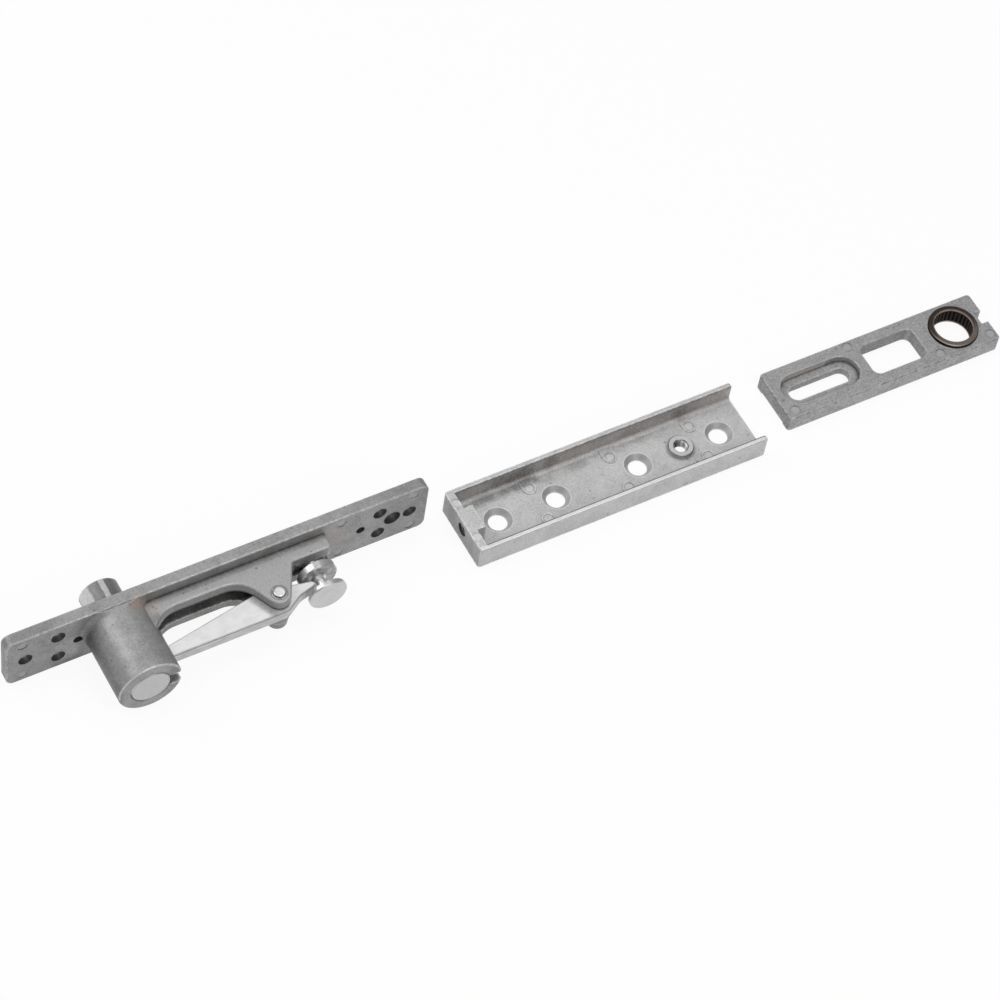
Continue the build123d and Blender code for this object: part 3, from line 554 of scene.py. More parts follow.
@dataclass(frozen=True)
class GroundSteel:
    """Ground round steel: painted reflections as light and dark bands along its axis on the wall,
    and plain satin ends.
    """

    name: str
    bright: Colour
    dark: Colour
    satin: Colour
    axis: Place
    radius: float
    metallic: float
    roughness: float
    bands: tuple[tuple[float, float, float], ...]

    # Stretch along the axis, steps of the noises, and full and faded share of a band's half width.
    ALONG = (1.0, 0.05, 1.0)
    BLOTCHES, SPECKS = (0.5, 0.75), (0.60, 0.74)
    BAND_SPECKS, END_SPECKS = (0.35, 0.6), (0.4, 0.7)
    BAND_FULL, BAND_FADED = 0.8, 1.15

    def build(self) -> bpy.types.Material:
        """Make the material.

        Returns:
            The material.
        """
        graph = FinishGraph(bpy.data.materials.new(self.name))
        here = graph.point()
        along = graph.point(self.ALONG)
        reach = graph.across(here, Along.Y, (self.axis,))
        wall = reach.between(self.radius - 0.4, self.radius - 0.1)
        hair = graph.noise(along, 0.5)
        speck = graph.noise(here, 0.6)
        blotch = graph.noise(here, 2.4, 3.0)
        # The bands are painted reflections, each lying at one angle round the axis.
        angle = graph.turn(here, self.axis) + (blotch - HALF) * 0.16
        light = blotch.between(*self.BLOTCHES) * 0.12 + speck.between(*self.SPECKS) * 0.18
        for middle, half, strength in self.bands:
            near = (angle - math.radians(middle)).size()
            full, faded = (math.radians(half * s) for s in (self.BAND_FULL, self.BAND_FADED))
            light = light.peak(near.fade(full, faded, strength))
        light = light * (0.7 + 0.3 * speck.between(*self.BAND_SPECKS))
        side = graph.mix(light, self.dark, self.bright)
        worn = speck.between(*self.END_SPECKS) * 0.4
        end = graph.mix(worn, self.satin, scaled(self.satin, 0.8))
        rough = self.roughness + (hair - HALF) * 0.2 + (speck - HALF) * 0.1 + 0.2 * (1.0 - wall)
        relief = graph.bump(hair * wall * 0.7 + speck * 0.3, 0.012, 0.6)
        return graph.close(graph.mix(wall, end, side), self.metallic, rough, relief)


@dataclass(frozen=True)
class TurnedSteel:
    """Turned and polished steel: fine rings round the screw's axis, a thread on its shank with
    painted shade in its grooves, a painted highlight on its neck and painted shade on its inner
    flange's face.
    """

    name: str
    tone: Colour
    shade: Colour
    axis: Place
    shank: float
    neck: float
    inner_face: float
    pitch: float
    metallic: float
    roughness: float

    # Pitch of the turned rings, the neck's start and end before the inner face, and noise steps.
    RING_PITCH = 0.4
    NECK_START, NECK_END = 7.6, 6.9
    CLOUDS, SPECKS, STAINS = (0.30, 0.74), (0.5, 0.7), (0.4, 0.6)

    def build(self) -> bpy.types.Material:
        """Make the material.

        Returns:
            The material.
        """
        graph = FinishGraph(bpy.data.materials.new(self.name))
        here = graph.point()
        _, y, _ = graph.parts(here)
        reach = graph.across(here, Along.Y, (self.axis,))
        rings = (reach * (TURN / self.RING_PITCH)).wave()
        cloud = graph.noise(here, 4.0)
        fine = graph.noise(here, 0.5)
        rib = (y * (TURN / (self.pitch * MM)) + graph.turn(here, self.axis)).wave()
        threaded = (reach - self.shank).size().fade(0.05, 0.15)
        share = cloud.between(*self.CLOUDS) * 0.2 + (rings * HALF + HALF) * 0.3
        share = share + fine.between(*self.SPECKS) * 0.25
        colour = graph.mix(share, self.tone, self.shade)
        # The neck between the flanges gets a painted highlight.
        start, end = (self.inner_face - run for run in (self.NECK_START, self.NECK_END))
        neck = reach.fade(self.neck + 0.2, self.neck + 1.2) * y.between(start * MM, end * MM)
        colour = graph.mix(neck * 0.8, colour, grey(0.92))
        # The inner flange's face gets painted shade, broken up by clouds.
        inner = (y - self.inner_face * MM).size().fade(0.25 * MM, 0.6 * MM)
        stain = inner * (0.35 + 0.4 * cloud.between(*self.STAINS))
        colour = graph.mix(stain, colour, scaled(self.shade, 0.45))
        # Painted shade in the grooves of the thread.
        groove = threaded * (HALF + HALF * rib) * 0.6
        colour = graph.mix(groove, colour, scaled(self.shade, 0.3))
        rough = self.roughness + (cloud - HALF) * 0.12 + (fine - HALF) * 0.1
        height = rings * 0.008 + fine * 0.08 + rib * threaded * 0.9
        return graph.close(colour, self.metallic, rough, graph.bump(height, 0.15, 0.7))


@dataclass(frozen=True)
class OiledSteel:
    """Dark hardened steel under oil, with a painted bronze highlight along an inner edge and a near
    side painted lighter.
    """

    name: str
    tone: Colour
    black: Colour
    rubbed: Colour
    centre: Place
    rubbed_radius: float
    rubbed_width: float
    black_radius: float
    near: Colour
    metallic: float
    gloss: float
    roughness: float

    # Where the near side's painted light is full and where it has faded, from the centre, and noise
    # steps.
    NEAR_FULL, NEAR_FADED = -9.0, 2.0
    CLOUDS, SPECKS = (0.38, 0.6), (0.58, 0.74)

    def build(self) -> bpy.types.Material:
        """Make the material.

        Returns:
            The material.
        """
        graph = FinishGraph(bpy.data.materials.new(self.name))
        here = graph.point()
        reach = graph.across(here, Along.Z, (self.centre,))
        # A painted bronze highlight along the edge at the highlight radius, with a few specks.
        edge = (reach - self.rubbed_radius).size().fade(self.rubbed_width * 0.4, self.rubbed_width)
        cloud = graph.noise(here, 3.2, 3.0, 0.6)
        fine = graph.noise(here, 0.4)
        worn = edge * (0.6 + 0.4 * cloud.between(*self.CLOUDS)) + fine.between(*self.SPECKS) * 0.15
        rim = reach.between(self.black_radius - 0.25, self.black_radius + 0.15)
        _, side, _ = graph.parts(here)
        # The near side is painted lighter, as where more light falls.
        full, faded = ((self.centre[1] + run) * MM for run in (self.NEAR_FULL, self.NEAR_FADED))
        tone = graph.mix(side.fade(full, faded) * 0.8, self.tone, self.near)
        colour = graph.mix(rim, graph.mix(worn, tone, self.rubbed), self.black)
        rough = self.roughness + (cloud - HALF) * 0.18 + (fine - HALF) * 0.1
        relief = graph.bump(fine * 0.6 + cloud * 0.4, 0.012, 0.6)
        return graph.close(colour, self.metallic, rough, relief, Specular_IOR_Level=self.gloss)


def dress(nodes: Iterable[str], finish: Any) -> None:
    """Give CAD nodes one finish.

    Args:
        nodes: Names of the nodes.
        finish: A finish with a build method.
    """
    material = finish.build()
    for name in nodes:
        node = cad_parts[name]
        node.data.materials.clear()
        node.data.materials.append(material)
    LOG.info("dressed %s with %s", ", ".join(nodes), material.name)


def piece(name: str, mesh: bmesh.types.BMesh, finish: Any, body: Body) -> None:
    """Turn a bmesh into a piece that rides on a body.

    Args:
        name: The piece's name.
        mesh: Its shape, in metres, in the row's frame. It is freed.
        finish: A finish with a build method.
        body: The body that carries it.
    """
    bmesh.ops.remove_doubles(mesh, verts=mesh.verts, dist=1e-7)
    bmesh.ops.recalc_face_normals(mesh, faces=mesh.faces)
    data = bpy.data.meshes.new(name)
    mesh.to_mesh(data)
    mesh.free()
    data.materials.append(finish.build())
    made = bpy.data.objects.new(name, data)
    bpy.context.scene.collection.objects.link(made)
    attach(made, body.value)
    LOG.info("made %s with %d faces", name, len(data.polygons))


@dataclass
class Thread:
    """A helical ridge inside a tapped hole, drawn by a spin that climbs one pitch a turn."""

    name: str
    start: Place
    axis: Place
    wall: float
    length: float
    depth: float = 0.55
    pitch: float = 1.25
    steps: int = 28
    rooted: float = 0.05
    root_share: float = 0.42
    crest_share: float = 0.06

    def shape(self) -> bmesh.types.BMesh:
        """Spin the ridge's section along the hole.

        Returns:
            The ridge, in metres.
        """
        mesh = bmesh.new()
        axis = Vector(self.axis).normalized()
        side = axis.orthogonal().normalized()
        origin = Vector(self.start) * MM
        half = self.pitch * self.root_share * MM
        land = self.pitch * self.crest_share * MM
        root = origin + side * (self.wall + self.rooted) * MM
        crest = origin + side * (self.wall - self.depth) * MM
        section = [root - axis * half, crest - axis * land, crest + axis * land, root + axis * half]
        corners = [mesh.verts.new(point) for point in section]
        edges = [mesh.edges.new(ends) for ends in zip(corners, corners[1:] + corners[:1])]
        first = mesh.faces.new(corners)
        turns = self.length / self.pitch
        steps = int(self.steps * turns)
        bmesh.ops.spin(
            mesh,
            geom=corners + edges + [first],
            cent=origin,
            axis=axis,
            dvec=axis * (self.length * MM / steps),
            angle=turns * TURN,
            steps=steps,
            use_merge=False,
            use_duplicate=False,
        )
        return mesh


class Casting:
    """A sub-assembly round one casting, with points given in that casting's own measures."""

    def place(self, *measures: float) -> Place:
        """A point in the row's frame."""
        raise NotImplementedError

    def tinted(self, *rows: tuple) -> Tints:
        """Tints on the casting, in the order in which they are laid.

        Args:
            rows: For each tint its place, as two corners and a soft border or as a centre and two
                radii, then its colour or grey level, its strength and its broken share.

        Returns:
            The tints.
        """
        made = []
        for start, end, last, tint, strength, broken in rows:
            first = self.place(*start)
            is_box = isinstance(end, tuple)
            shape = Slab(first, self.place(*end), last) if is_box else Ball(first, end, last)
            colour = tint if isinstance(tint, tuple) else grey(tint)
            made.append(Patch(shape, colour, strength, broken))
        return tuple(made)


@dataclass
class FrameHalf(Casting):
    """Face plate with its barrel, sliding pin, walking beam and spool screw."""

    left: float = -259.25
    face: float = 8.25
    length: float = 211.0
    width: float = 31.75
    pin_run: float = 53.4
    pin_radius: float = 9.525
    pin_play: float = 0.05
    barrel_height: float = 36.2
    lever_half: float = 3.175
    screw_run: float = 147.0
    screw_radius: float = 4.0
    screw_pitch: float = 1.25
    neck_radius: float = 2.5
    inner_flange: float = 15.7
    cheek_rise: float = 9.25
    cheek_thickness: float = 5.5
    cheek_reach: float = 32.0
    rivet_run: float = 124.1
    rivet_out: float = 20.3
    rivet_proud: float = 0.9
    rivet_stain: float = 3.6
    block_end: float = 157.3
    rim_stop: float = 18.0
    end_screw: float = 9.2
    inner_screw: float = 25.1
    inner_rise: float = 7.7
    screw_hole: float = 3.3
    pilot: float = 34.6
    pilot_hole: float = 2.1
    relief: float = 18.2
    relief_hole: float = 4.1
    mark_runs: tuple[float, ...] = (7.8, 203.2, 165.8)
    mark_rise: float = 11.7
    mark_radius: float = 2.5
    smudges: tuple[tuple[float, float], ...] = (
        (-10.6, 4.5), (-9.2, 2.1), (-7.9, -0.2), (-6.7, -2.9), (-5.5, -5.5), (-3.5, -7.6),
        (-0.5, -8.6),
    )

    def place(self, run: float, rise: float = 0.0, out: float = 0.0) -> Place:
        """A point from its run along the plate, its rise from the middle and its height out."""
        return (self.left + run, self.face - out, self.width / 2 + rise)

    def both_ends(self, run: float, rise: float = 0.0) -> tuple[Place, Place]:
        """The same point from either end of the plate."""
        return (self.place(run, rise), self.place(self.length - run, rise))

    def tints(self) -> tuple[Tints, Tints]:
        """Choose the casting's tints.

        Returns:
            The tints under the grain, and the lines over it.
        """
        brown, pink = (0.15, 0.13, 0.12), (0.46, 0.34, 0.29)
        inside, below = (0.070, 0.064, 0.060), (0.22, 0.21, 0.20)
        pin, end, tall = self.pin_run, self.block_end, self.barrel_height
        top, reach, ear = self.cheek_rise, self.cheek_reach, end - self.rim_stop
        rim = top - self.cheek_thickness
        under = self.tinted(
            # Brown along the cheek's root, and pink burns beside the barrel and the end block.
            ((pin + 14.0, top, 0.6), (end, 15.125, -0.3), 0.5, brown, 0.6, 0.3),
            ((pin + 9.0, 12.5, 1.0), 1.0, 6.0, pink, 0.7, 0.4),
            ((pin + 17.0, 9.0, 4.0), 1.0, 7.0, pink, 0.4, 0.5),
            ((end + 4.0, 4.0), 2.0, 14.0, pink, 0.3, 0.6),
            # Painted shade on the right and left sides of the barrel, and on the plate beside it.
            ((pin + 10.0, -9.0, tall), (pin + 19.0, 9.0, 9.0), 3.5, 0.09, 0.75, 0.1),
            ((pin - 18.0, -20.0, tall), (pin - 14.0, 9.0, 1.0), 1.6, 0.08, 0.75, 0.1),
            ((pin - 15.0, 4.0, 2.0), 3.0, 14.0, 0.14, 0.5, 0.4),
            ((22.0, -23.875, 4.0), (37.0, -11.375, -8.0), 3.5, 0.07, 0.75, 0.2),
            # Darker ends of the plate.
            ((-5.0, -20.0, 1.0), (24.0, 20.0, -7.0), 9.0, 0.15, 0.55, 0.15),
            ((188.0, -20.0, 1.0), (216.0, 20.0, -7.0), 9.0, 0.15, 0.5, 0.15),
            # Painted shade on the rim of the upper cheek and on the lower cheek, painted light on
            # the cheek's top, and painted shadow between them.
            ((pin + 19.0, rim + 0.5, reach), (ear, top - 0.9, 4.0), 0.45, 0.25, 0.8, 0.15),
            ((pin + 14.0, -9.6, reach), (ear, -3.9, 4.0), 0.4, below, 0.7, 0.3),
            ((pin + 17.0, top - 0.4, reach), (end, top + 0.5, 3.0), 0.3, 0.46, 0.55, 0.3),
            ((pin + 14.0, -4.2, 9.0), (end, rim - 0.2, -0.3), 0.4, inside, 0.85, 0.3),
        )
        over = self.tinted(
            # Painted highlight on the rim of the barrel's end, and a painted shadow line under the
            # upper cheek.
            ((pin - 17.0, -2.0, tall - 0.25), (pin + 17.0, 17.0, tall - 0.95), 0.2, 0.85, 0.6, 0.6),
            ((pin + 19.0, rim - 0.3, reach), (ear, rim + 0.9, 4.0), 0.25, 0.03, 0.9, 0.1),
        )
        return under, over

    def skin(self) -> CastSkin:
        """Finish the casting, with painted shade in its bores, its ejector marks and its tints.

        Returns:
            The finish.
        """
        screws = self.both_ends(self.end_screw)
        screws += self.both_ends(self.inner_screw, self.inner_rise)
        screws += self.both_ends(self.inner_screw, -self.inner_rise)
        rises = (-self.mark_rise, self.mark_rise)
        marks = tuple(self.place(run, rise) for run in self.mark_runs for rise in rises)
        rivet = self.place(self.rivet_run, 0.0, self.rivet_out)
        under, over = self.tints()
        return CastSkin(
            "frame_casting_skin", tone=grey(0.36), shade=grey(0.265), metallic=0.35, roughness=0.47,
            grain=0.7, cloud=9.0, relief=0.045, contrast=0.34, rubbed=0.6,
            patches=under, lines=over,
            bores=(
                Rounds(Along.Y, (self.place(self.pin_run),), self.pin_radius + self.pin_play),
                Rounds(Along.Y, screws, self.screw_hole),
                Rounds(Along.Y, self.both_ends(self.pilot), self.pilot_hole),
                Rounds(Along.Y, (self.place(self.length - self.relief),), self.relief_hole),
            ),
            marks=(Rounds(Along.Y, marks, self.mark_radius),),
            stains=(Rounds(Along.Z, (rivet,), self.rivet_stain),),
        )

    def build(self) -> None:
        """Dress the nodes of this half."""
        dress(("frame_casting",), self.skin())
        # The pin's painted reflections are light bands, given as middle, half width and strength.
        pin = GroundSteel(
            "pin_ground", bright=grey(0.80), dark=grey(0.18), satin=grey(0.60),
            axis=self.place(self.pin_run), radius=self.pin_radius, metallic=0.35, roughness=0.42,
            bands=((164.0, 38.0, 1.0), (86.0, 8.0, 0.62)),
        )
        dress(("pivot_pin",), pin)
        # The cheek's painted shadow lies along the lever's ear.
        half, out = self.lever_half, self.rivet_out
        shadow = self.tinted(
            *(
                ((self.rivet_run + run, half, out - back), 0.8, 2.8, 0.20, 0.5, 0.15)
                for run, back in self.smudges
            )
        )
        # The lever's edge colour is dark, so its edges get painted shade.
        lever = PlatedSteel(
            "beam_plating", tone=grey(0.78), shade=grey(0.61), side=grey(0.60),
            flat_level=self.width / 2 + half, metallic=0.4, roughness=0.38, along=(0.12, 1.0, 1.0),
            patches=shadow, seam=0.62, seam_half=0.5, edge=grey(0.08), rubbed=0.55,
        )
        dress(("lever",), lever)
        peened = self.width / 2 + self.cheek_rise + self.rivet_proud - 0.05
        rivet = PlatedSteel(
            "rivet_peened", tone=grey(0.82), shade=grey(0.40), side=grey(0.26), flat_level=peened,
            metallic=0.5, roughness=0.30, along=(2.0, 2.0, 2.0),
        )
        dress(("lever_rivet",), rivet)
        screw = TurnedSteel(
            "spool_turned", tone=grey(0.62), shade=grey(0.47), axis=self.place(self.screw_run),
            shank=self.screw_radius, neck=self.neck_radius, pitch=self.screw_pitch,
            inner_face=self.face - self.inner_flange, metallic=0.65, roughness=0.30,
        )
        dress(("adjusting_screw",), screw)


@dataclass
class FlatCasting(Casting):
    """A casting that lies flat, measured from its left end, its middle line and the floor."""

    left: float
    row: float

    def place(self, run: float, side: float = 0.0, level: float = 0.0) -> Place:
        """A point from its run along the casting, its side from the middle and its level."""
        return (self.left + run, self.row + side, level)


@dataclass
class DoorChannel(FlatCasting):
    """Open door channel with its tapped end boss and threaded insert."""

    left: float = -36.85
    row: float = -5.9
    length: float = 156.2
    half_width: float = 18.15
    wall: float = 2.3
    floor: float = 3.2
    height: float = 13.7
    end_hole_level: float = 7.0
    boss: float = 9.0
    insert_run: float = 119.5
    insert_top: float = 5.6
    tapped: float = 3.4
    sink_radius: float = 6.8
    hole_runs: tuple[float, ...] = (20.2, 51.4, 96.1, 141.0)
    mark_runs: tuple[float, ...] = (42.0, 85.8, 129.7)
    mark_side: float = 9.4
    mark_radius: float = 2.5
    end_mark_run: float = 2.3
    end_mark_side: float = 10.3
    wall_level: float = 8.3
    light_runs: tuple[float, ...] = (6.0, 12.0, 17.0, 66.0, 74.0, 90.0, 112.0, 143.0, 149.0, 155.0)
    dark_runs: tuple[float, ...] = (29.0, 36.0, 43.0, 56.0, 128.0)
    overrun: float = 2.0

    def tints(self) -> tuple[Tints, Tints]:
        """Choose the casting's tints.

        Returns:
            The tints under the grain, and the lines over it.
        """
        side, end = self.half_width, self.length + self.overrun
        face, floor, top = side - self.wall, self.floor, self.height
        stop = end - 40.0
        far, foot, burn = (0.28, 0.256, 0.242), (0.56, 0.51, 0.48), (0.36, 0.30, 0.27)
        spots = [(run, (0.46, 0.43, 0.415)) for run in self.light_runs]
        spots += [(run, (0.10, 0.092, 0.088)) for run in self.dark_runs]
        under = self.tinted(
            # Painted shade on the far wall, a lighter warm band on its foot, and darker patches on
            # the floor beside it.
            ((4.0, face - 0.35, floor + 1.4), (end, face + 0.3, top - 0.3), 0.3, far, 0.9, 0.3),
            ((4.0, face - 2.1, floor - 0.3), (end, face - 0.3, floor + 1.6), 0.35, foot, 0.4, 0.6),
            ((9.0, face - 6.0, floor - 0.4), (stop, face - 2.3, floor + 0.2), 1.4, 0.26, 0.75, 1.0),
            # Painted shade on the end face, and a painted shadow round the insert.
            ((-0.5, -side - 1.0, -1.0), (0.15, side + 1.0, 13.4), 0.12, 0.26, 0.85, 0.25),
            ((self.insert_run, 0.0, floor), 6.4, 8.0, 0.16, 0.5, 0.2),
            # Brown low on the far wall, the darkest patch at its left, and lighter and darker spots
            # along it.
            ((30.0, face - 0.4, floor + 1.4), (end, face + 0.3, floor + 5.5), 1.0, burn, 0.6, 0.7),
            ((9.0, face - 4.5, floor - 0.4), (48.0, face - 1.0, floor + 1.0), 1.4, 0.15, 0.8, 0.8),
            *(((run, face, self.wall_level), 2.0, 6.4, tint, 0.6, 0.4) for run, tint in spots),
        )
        over = self.tinted(
            # Painted light on the top of the near wall, the dark lines beside it, and the far
            # wall's dark top.
            ((0.6, -side - 0.5, top - 0.3), (end, -face - 0.1, top + 0.5), 0.15, 0.80, 0.8, 0.4),
            ((4.4, -face - 0.6, top - 1.2), (end, -face + 0.3, top + 0.3), 0.2, 0.05, 0.95, 0.15),
            ((0.6, -side - 0.3, top - 0.75), (end, -side + 0.2, top - 0.25), 0.15, 0.26, 0.7, 0.3),
            ((4.0, face - 0.3, top - 1.2), (end, face + 0.25, top + 0.3), 0.3, 0.09, 0.6, 0.4),
        )
        return under, over

    def skin(self) -> CastSkin:
        """Finish the channel, with its shaded far wall, its sinks and its ejector marks.

        Returns:
            The finish.
        """
        holes = tuple(self.place(run) for run in self.hole_runs)
        pairs = [(run, self.mark_side) for run in self.mark_runs]
        pairs.append((self.end_mark_run, self.end_mark_side))
        marks = tuple(self.place(run, sign * side) for run, side in pairs for sign in (-1, 1))
        under, over = self.tints()
        return CastSkin(
            "channel_skin", tone=grey(0.58), shade=grey(0.47), metallic=0.25, roughness=0.44,
            grain=0.8, cloud=10.0, relief=0.045, contrast=0.4, rubbed=0.6,
            patches=under, lines=over,
            bores=(Rounds(Along.X, (self.place(0.0, 0.0, self.end_hole_level),), self.tapped),),
            marks=(Rounds(Along.Z, marks, self.mark_radius),),
            rims=(Rounds(Along.Z, holes, self.sink_radius),),
        )

    def build(self) -> None:
        """Dress the channel and cut the visible threads."""
        skin = self.skin()
        dress(("door_channel",), skin)
        # The insert's bore gets painted shade on its far side.
        run, top = self.insert_run, self.insert_top
        bore = ((run - 1.9, 0.4, -1.0), (run + 1.7, 4.2, top - 0.5), 0.35, 0.03, 0.9, 0.1)
        bright = PlatedSteel(
            "insert_plating", tone=grey(0.64), shade=grey(0.50), side=grey(0.44), flat_level=top,
            metallic=0.5, roughness=0.34, patches=self.tinted(bore),
        )
        dress(("threaded_insert",), bright)
        mouth = self.place(1.2, 0.0, self.end_hole_level)
        end = Thread("end_boss_thread", mouth, (1.0, 0.0, 0.0), self.tapped, self.boss - 2.4)
        piece(end.name, end.shape(), skin, Body.FIXED)
        foot = self.place(run, 0.0, 0.7)
        bush = Thread("insert_thread", foot, (0.0, 0.0, 1.0), self.tapped, top - 1.6)
        piece(bush.name, bush.shape(), bright, Body.FIXED)


@dataclass
class BearingArm(FlatCasting):
    """Arm with its slot, window and the needle bearing in its eye."""

    left: float = 137.25
    row: float = -1.92
    length: float = 122.0
    half_width: float = 14.85
    height: float = 9.1
    bearing_run: float = 103.3
    cup_radius: float = 12.7
    lip_radius: float = 9.8
    needle_orbit: float = 10.63
    needle_radius: float = 1.0
    seat_run: float = 26.1
    seat_half: float = 8.7
    window_half: float = 9.1
    marks: tuple[tuple[float, float], ...] = (
        (5.2, -10.6), (48.5, 11.6), (118.6, -10.6), (89.2, -10.6)
    )
    mark_radius: float = 2.5
    needles: int = 31

    def tints(self) -> tuple[Tints, Tints]:
        """Choose the casting's tints.

        Returns:
            The tints under the grain, and the lines over it.
        """
        outer, window, high = self.half_width, self.window_half, self.height
        seat, wall, pale = self.seat_run, self.seat_half, (0.66, 0.60, 0.56)
        low, top, end = high - 0.75, high + 0.3, self.length - 1.5
        under = self.tinted(
            # Painted shade on the end face, on the far and right walls of the window, and on the
            # wall of the slot.
            ((-0.5, -outer - 1.0, -1.0), (0.2, outer + 1.0, 8.7), 0.12, 0.18, 0.8, 0.25),
            ((52.0, window - 0.5, -1.0), (84.5, window + 0.3, 8.3), 0.35, 0.17, 0.7, 0.25),
            ((83.1, -window, -1.0), (83.9, window, 8.3), 0.35, 0.17, 0.6, 0.25),
            ((4.0, 3.9, -1.0), (48.0, 4.75, 4.9), 0.35, 0.19, 0.6, 0.25),
        )
        over = self.tinted(
            # Broken dark lines along the near and left top edges, and painted light on the seat's
            # far wall.
            ((1.5, -outer - 0.3, low), (end, -outer + 0.3, top), 0.2, 0.10, 0.6, 0.8),
            ((-0.3, -outer + 1.5, low), (0.35, outer - 1.5, top), 0.2, 0.10, 0.7, 0.6),
            ((seat - 24.0, wall - 0.9, 5.6), (seat + 8.0, wall + 0.3, 8.3), 0.5, pale, 0.85, 0.3),
        )
        return under, over

    def build(self) -> None:
        """Dress the arm, the bearing cup and the needles."""
        marks = tuple(self.place(run, side) for run, side in self.marks)
        under, over = self.tints()
        skin = CastSkin(
            "arm_skin", tone=grey(0.39), shade=grey(0.29), metallic=0.25, roughness=0.44, grain=0.9,
            cloud=7.0, relief=0.06, contrast=0.62, rubbed=0.35, patches=under, lines=over,
            marks=(Rounds(Along.Z, marks, self.mark_radius),),
        )
        dress(("end_load_arm",), skin)
        centre = self.place(self.bearing_run)
        # The cup gets a painted bronze highlight on its lip and a near side painted lighter.
        cup = OiledSteel(
            "cup_oiled", tone=(0.072, 0.058, 0.049), near=(0.30, 0.25, 0.225),
            black=(0.010, 0.009, 0.008), rubbed=(0.30, 0.23, 0.20), centre=centre,
            rubbed_radius=self.lip_radius + 0.1, rubbed_width=0.7,
            black_radius=self.cup_radius - 0.25, metallic=0.85, gloss=0.5, roughness=0.34,
        )
        dress(("bearing_cup",), cup)
        # The needles are near-black as painted shade inside the cup, with a faint painted highlight
        # on their inner edge.
        needle = OiledSteel(
            "needle_oiled", tone=(0.012, 0.010, 0.009), near=(0.012, 0.010, 0.009),
            black=(0.008, 0.007, 0.007), rubbed=(0.030, 0.024, 0.021), centre=centre,
            rubbed_radius=self.needle_orbit - self.needle_radius, rubbed_width=0.3,
            black_radius=self.needle_orbit, metallic=0.1, gloss=0.08, roughness=0.55,
        )
        dress(tuple(f"needle_roller_{n:02d}" for n in range(1, self.needles + 1)), needle)


@dataclass(frozen=True)
class Lamp:
    """One soft square lamp that points at the middle of the row, in metres and watts."""

    name: str
    place: Place
    size: float
    watts: float

    def hang(self) -> None:
        """Add it to the scene."""
        data = bpy.data.lights.new(self.name, "AREA")
        data.shape = "SQUARE"
        data.size = self.size
        data.energy = self.watts
        made = bpy.data.objects.new(self.name, data)
        made.location = self.place
        made.rotation_euler = (-Vector(self.place)).to_track_quat("-Z", "Y").to_euler()
        bpy.context.scene.collection.objects.link(made)


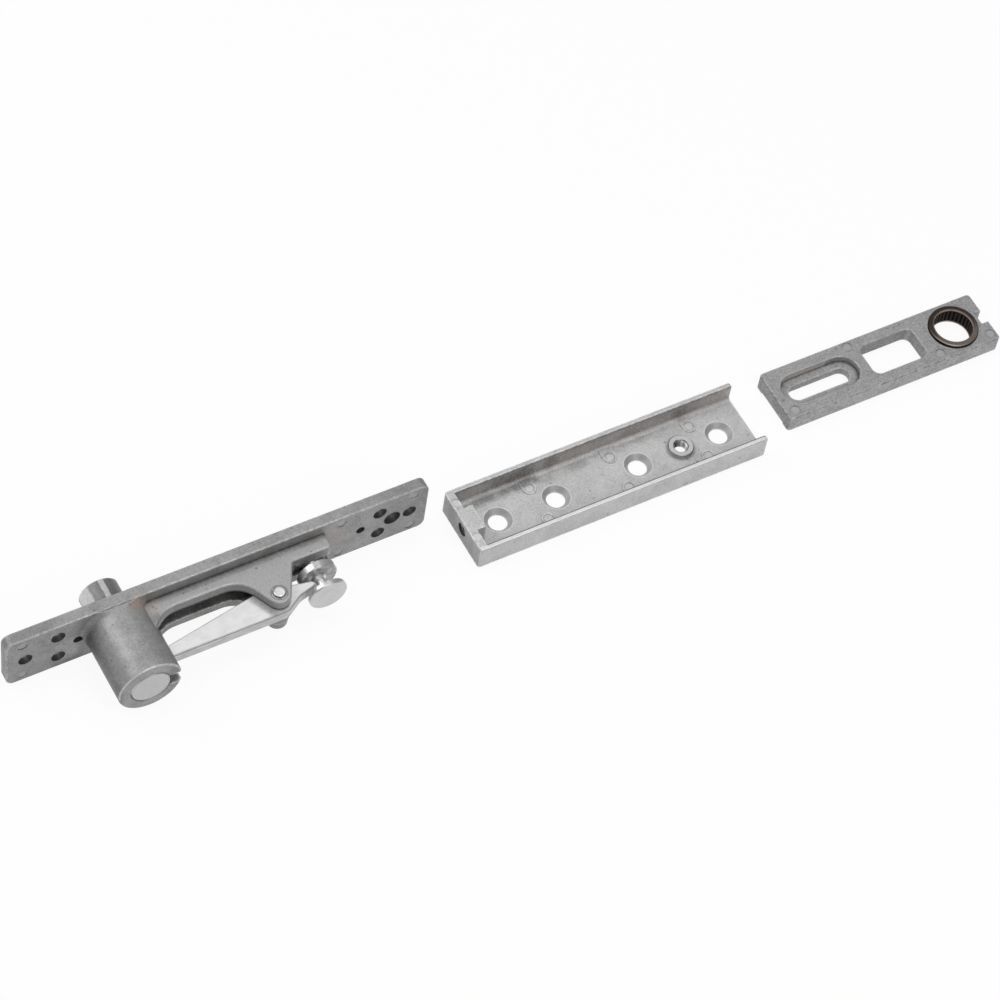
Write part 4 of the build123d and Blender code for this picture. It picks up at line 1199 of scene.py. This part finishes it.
@dataclass
class Studio:
    """White floor, soft lamps and the camera."""

    camera_place: Place = (-590.372, -760.338, 1355.994)
    azimuth: float = 37.20023
    elevation: float = 54.66567
    roll: float = 10.50410
    lens: float = 127.4466
    sensor: float = 36.0
    clip: tuple[float, float] = (0.05, 50.0)
    floor_half: float = 6.0
    floor_drop: float = 0.0002
    floor_tone: float = 0.90
    room: float = 0.22
    white: float = 0.92
    lamps: tuple[Lamp, ...] = (
        Lamp("front", (0.05, -1.1, 1.2), 1.2, 10.0),
        Lamp("top", (0.3, 0.15, 1.6), 1.0, 8.5),
        Lamp("key", (-0.95, 0.75, 1.25), 1.1, 11.0),
    )

    def camera(self) -> None:
        """Set the camera to the photographed view."""
        turn, tilt, roll = (math.radians(a) for a in (self.azimuth, self.elevation, self.roll))
        flat = math.cos(tilt)
        ahead = Vector((math.sin(turn) * flat, math.cos(turn) * flat, -math.sin(tilt)))
        level = Vector((math.cos(turn), -math.sin(turn), 0.0))
        upright = level.cross(ahead)
        right = level * math.cos(roll) + upright * math.sin(roll)
        up = upright * math.cos(roll) - level * math.sin(roll)
        data = bpy.data.cameras.new("view")
        data.lens = self.lens
        data.sensor_width = self.sensor
        data.clip_start, data.clip_end = self.clip
        made = bpy.data.objects.new("view", data)
        matrix = Matrix((right, up, -ahead)).transposed().to_4x4()
        matrix.translation = Vector(self.camera_place) * MM
        made.matrix_world = matrix
        bpy.context.scene.collection.objects.link(made)
        bpy.context.scene.camera = made

    def floor(self) -> None:
        """Lay the white floor, which keeps a soft shadow."""
        mesh = bmesh.new()
        bmesh.ops.create_grid(mesh, x_segments=1, y_segments=1, size=self.floor_half)
        bmesh.ops.translate(mesh, verts=mesh.verts, vec=(0.0, 0.0, -self.floor_drop))
        data = bpy.data.meshes.new("floor")
        mesh.to_mesh(data)
        mesh.free()
        graph = FinishGraph(bpy.data.materials.new("floor_white"))
        matt = graph.node("ShaderNodeBsdfDiffuse", None, {"Color": (*grey(self.floor_tone), 1.0)})
        glow = graph.node("ShaderNodeEmission", None, {"Color": (*grey(1.0), 1.0), "Strength": 1.0})
        seen = graph.node("ShaderNodeLightPath", output="Is Camera Ray")
        mirrored = graph.node("ShaderNodeLightPath", output="Is Glossy Ray")
        through = graph.node("ShaderNodeLightPath", output="Is Transmission Ray")
        share = seen.peak(mirrored).peak(through) * self.white
        surface = graph.node("ShaderNodeMixShader", None, {0: share, 1: matt, 2: glow})
        graph.node("ShaderNodeOutputMaterial", None, {"Surface": surface})
        data.materials.append(graph.holder)
        made = bpy.data.objects.new("floor", data)
        bpy.context.scene.collection.objects.link(made)

    def sky(self) -> None:
        """Fill the room with even light, white to the camera."""
        world = bpy.data.worlds.new("room")
        bpy.context.scene.world = world
        graph = FinishGraph(world)
        seen = graph.node("ShaderNodeLightPath", output="Is Camera Ray")
        colour = {"Color": (*grey(1.0), 1.0)}
        fill = graph.node("ShaderNodeBackground", None, colour | {"Strength": self.room})
        white = graph.node("ShaderNodeBackground", None, colour | {"Strength": 1.0})
        mixed = graph.node("ShaderNodeMixShader", None, {0: seen, 1: fill, 2: white})
        graph.node("ShaderNodeOutputWorld", None, {"Surface": mixed})

    def build(self) -> None:
        """Set up the whole studio."""
        self.camera()
        self.floor()
        self.sky()
        for lamp in self.lamps:
            lamp.hang()
        bpy.context.scene.view_settings.view_transform = "Standard"


def main() -> None:
    """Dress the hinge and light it."""
    logging.basicConfig(level=logging.INFO, format="%(name)s: %(message)s")
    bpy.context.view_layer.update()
    for assembly in (FrameHalf(), DoorChannel(), BearingArm()):
        assembly.build()
    Studio().build()


if __name__ == "__main__":
    main()
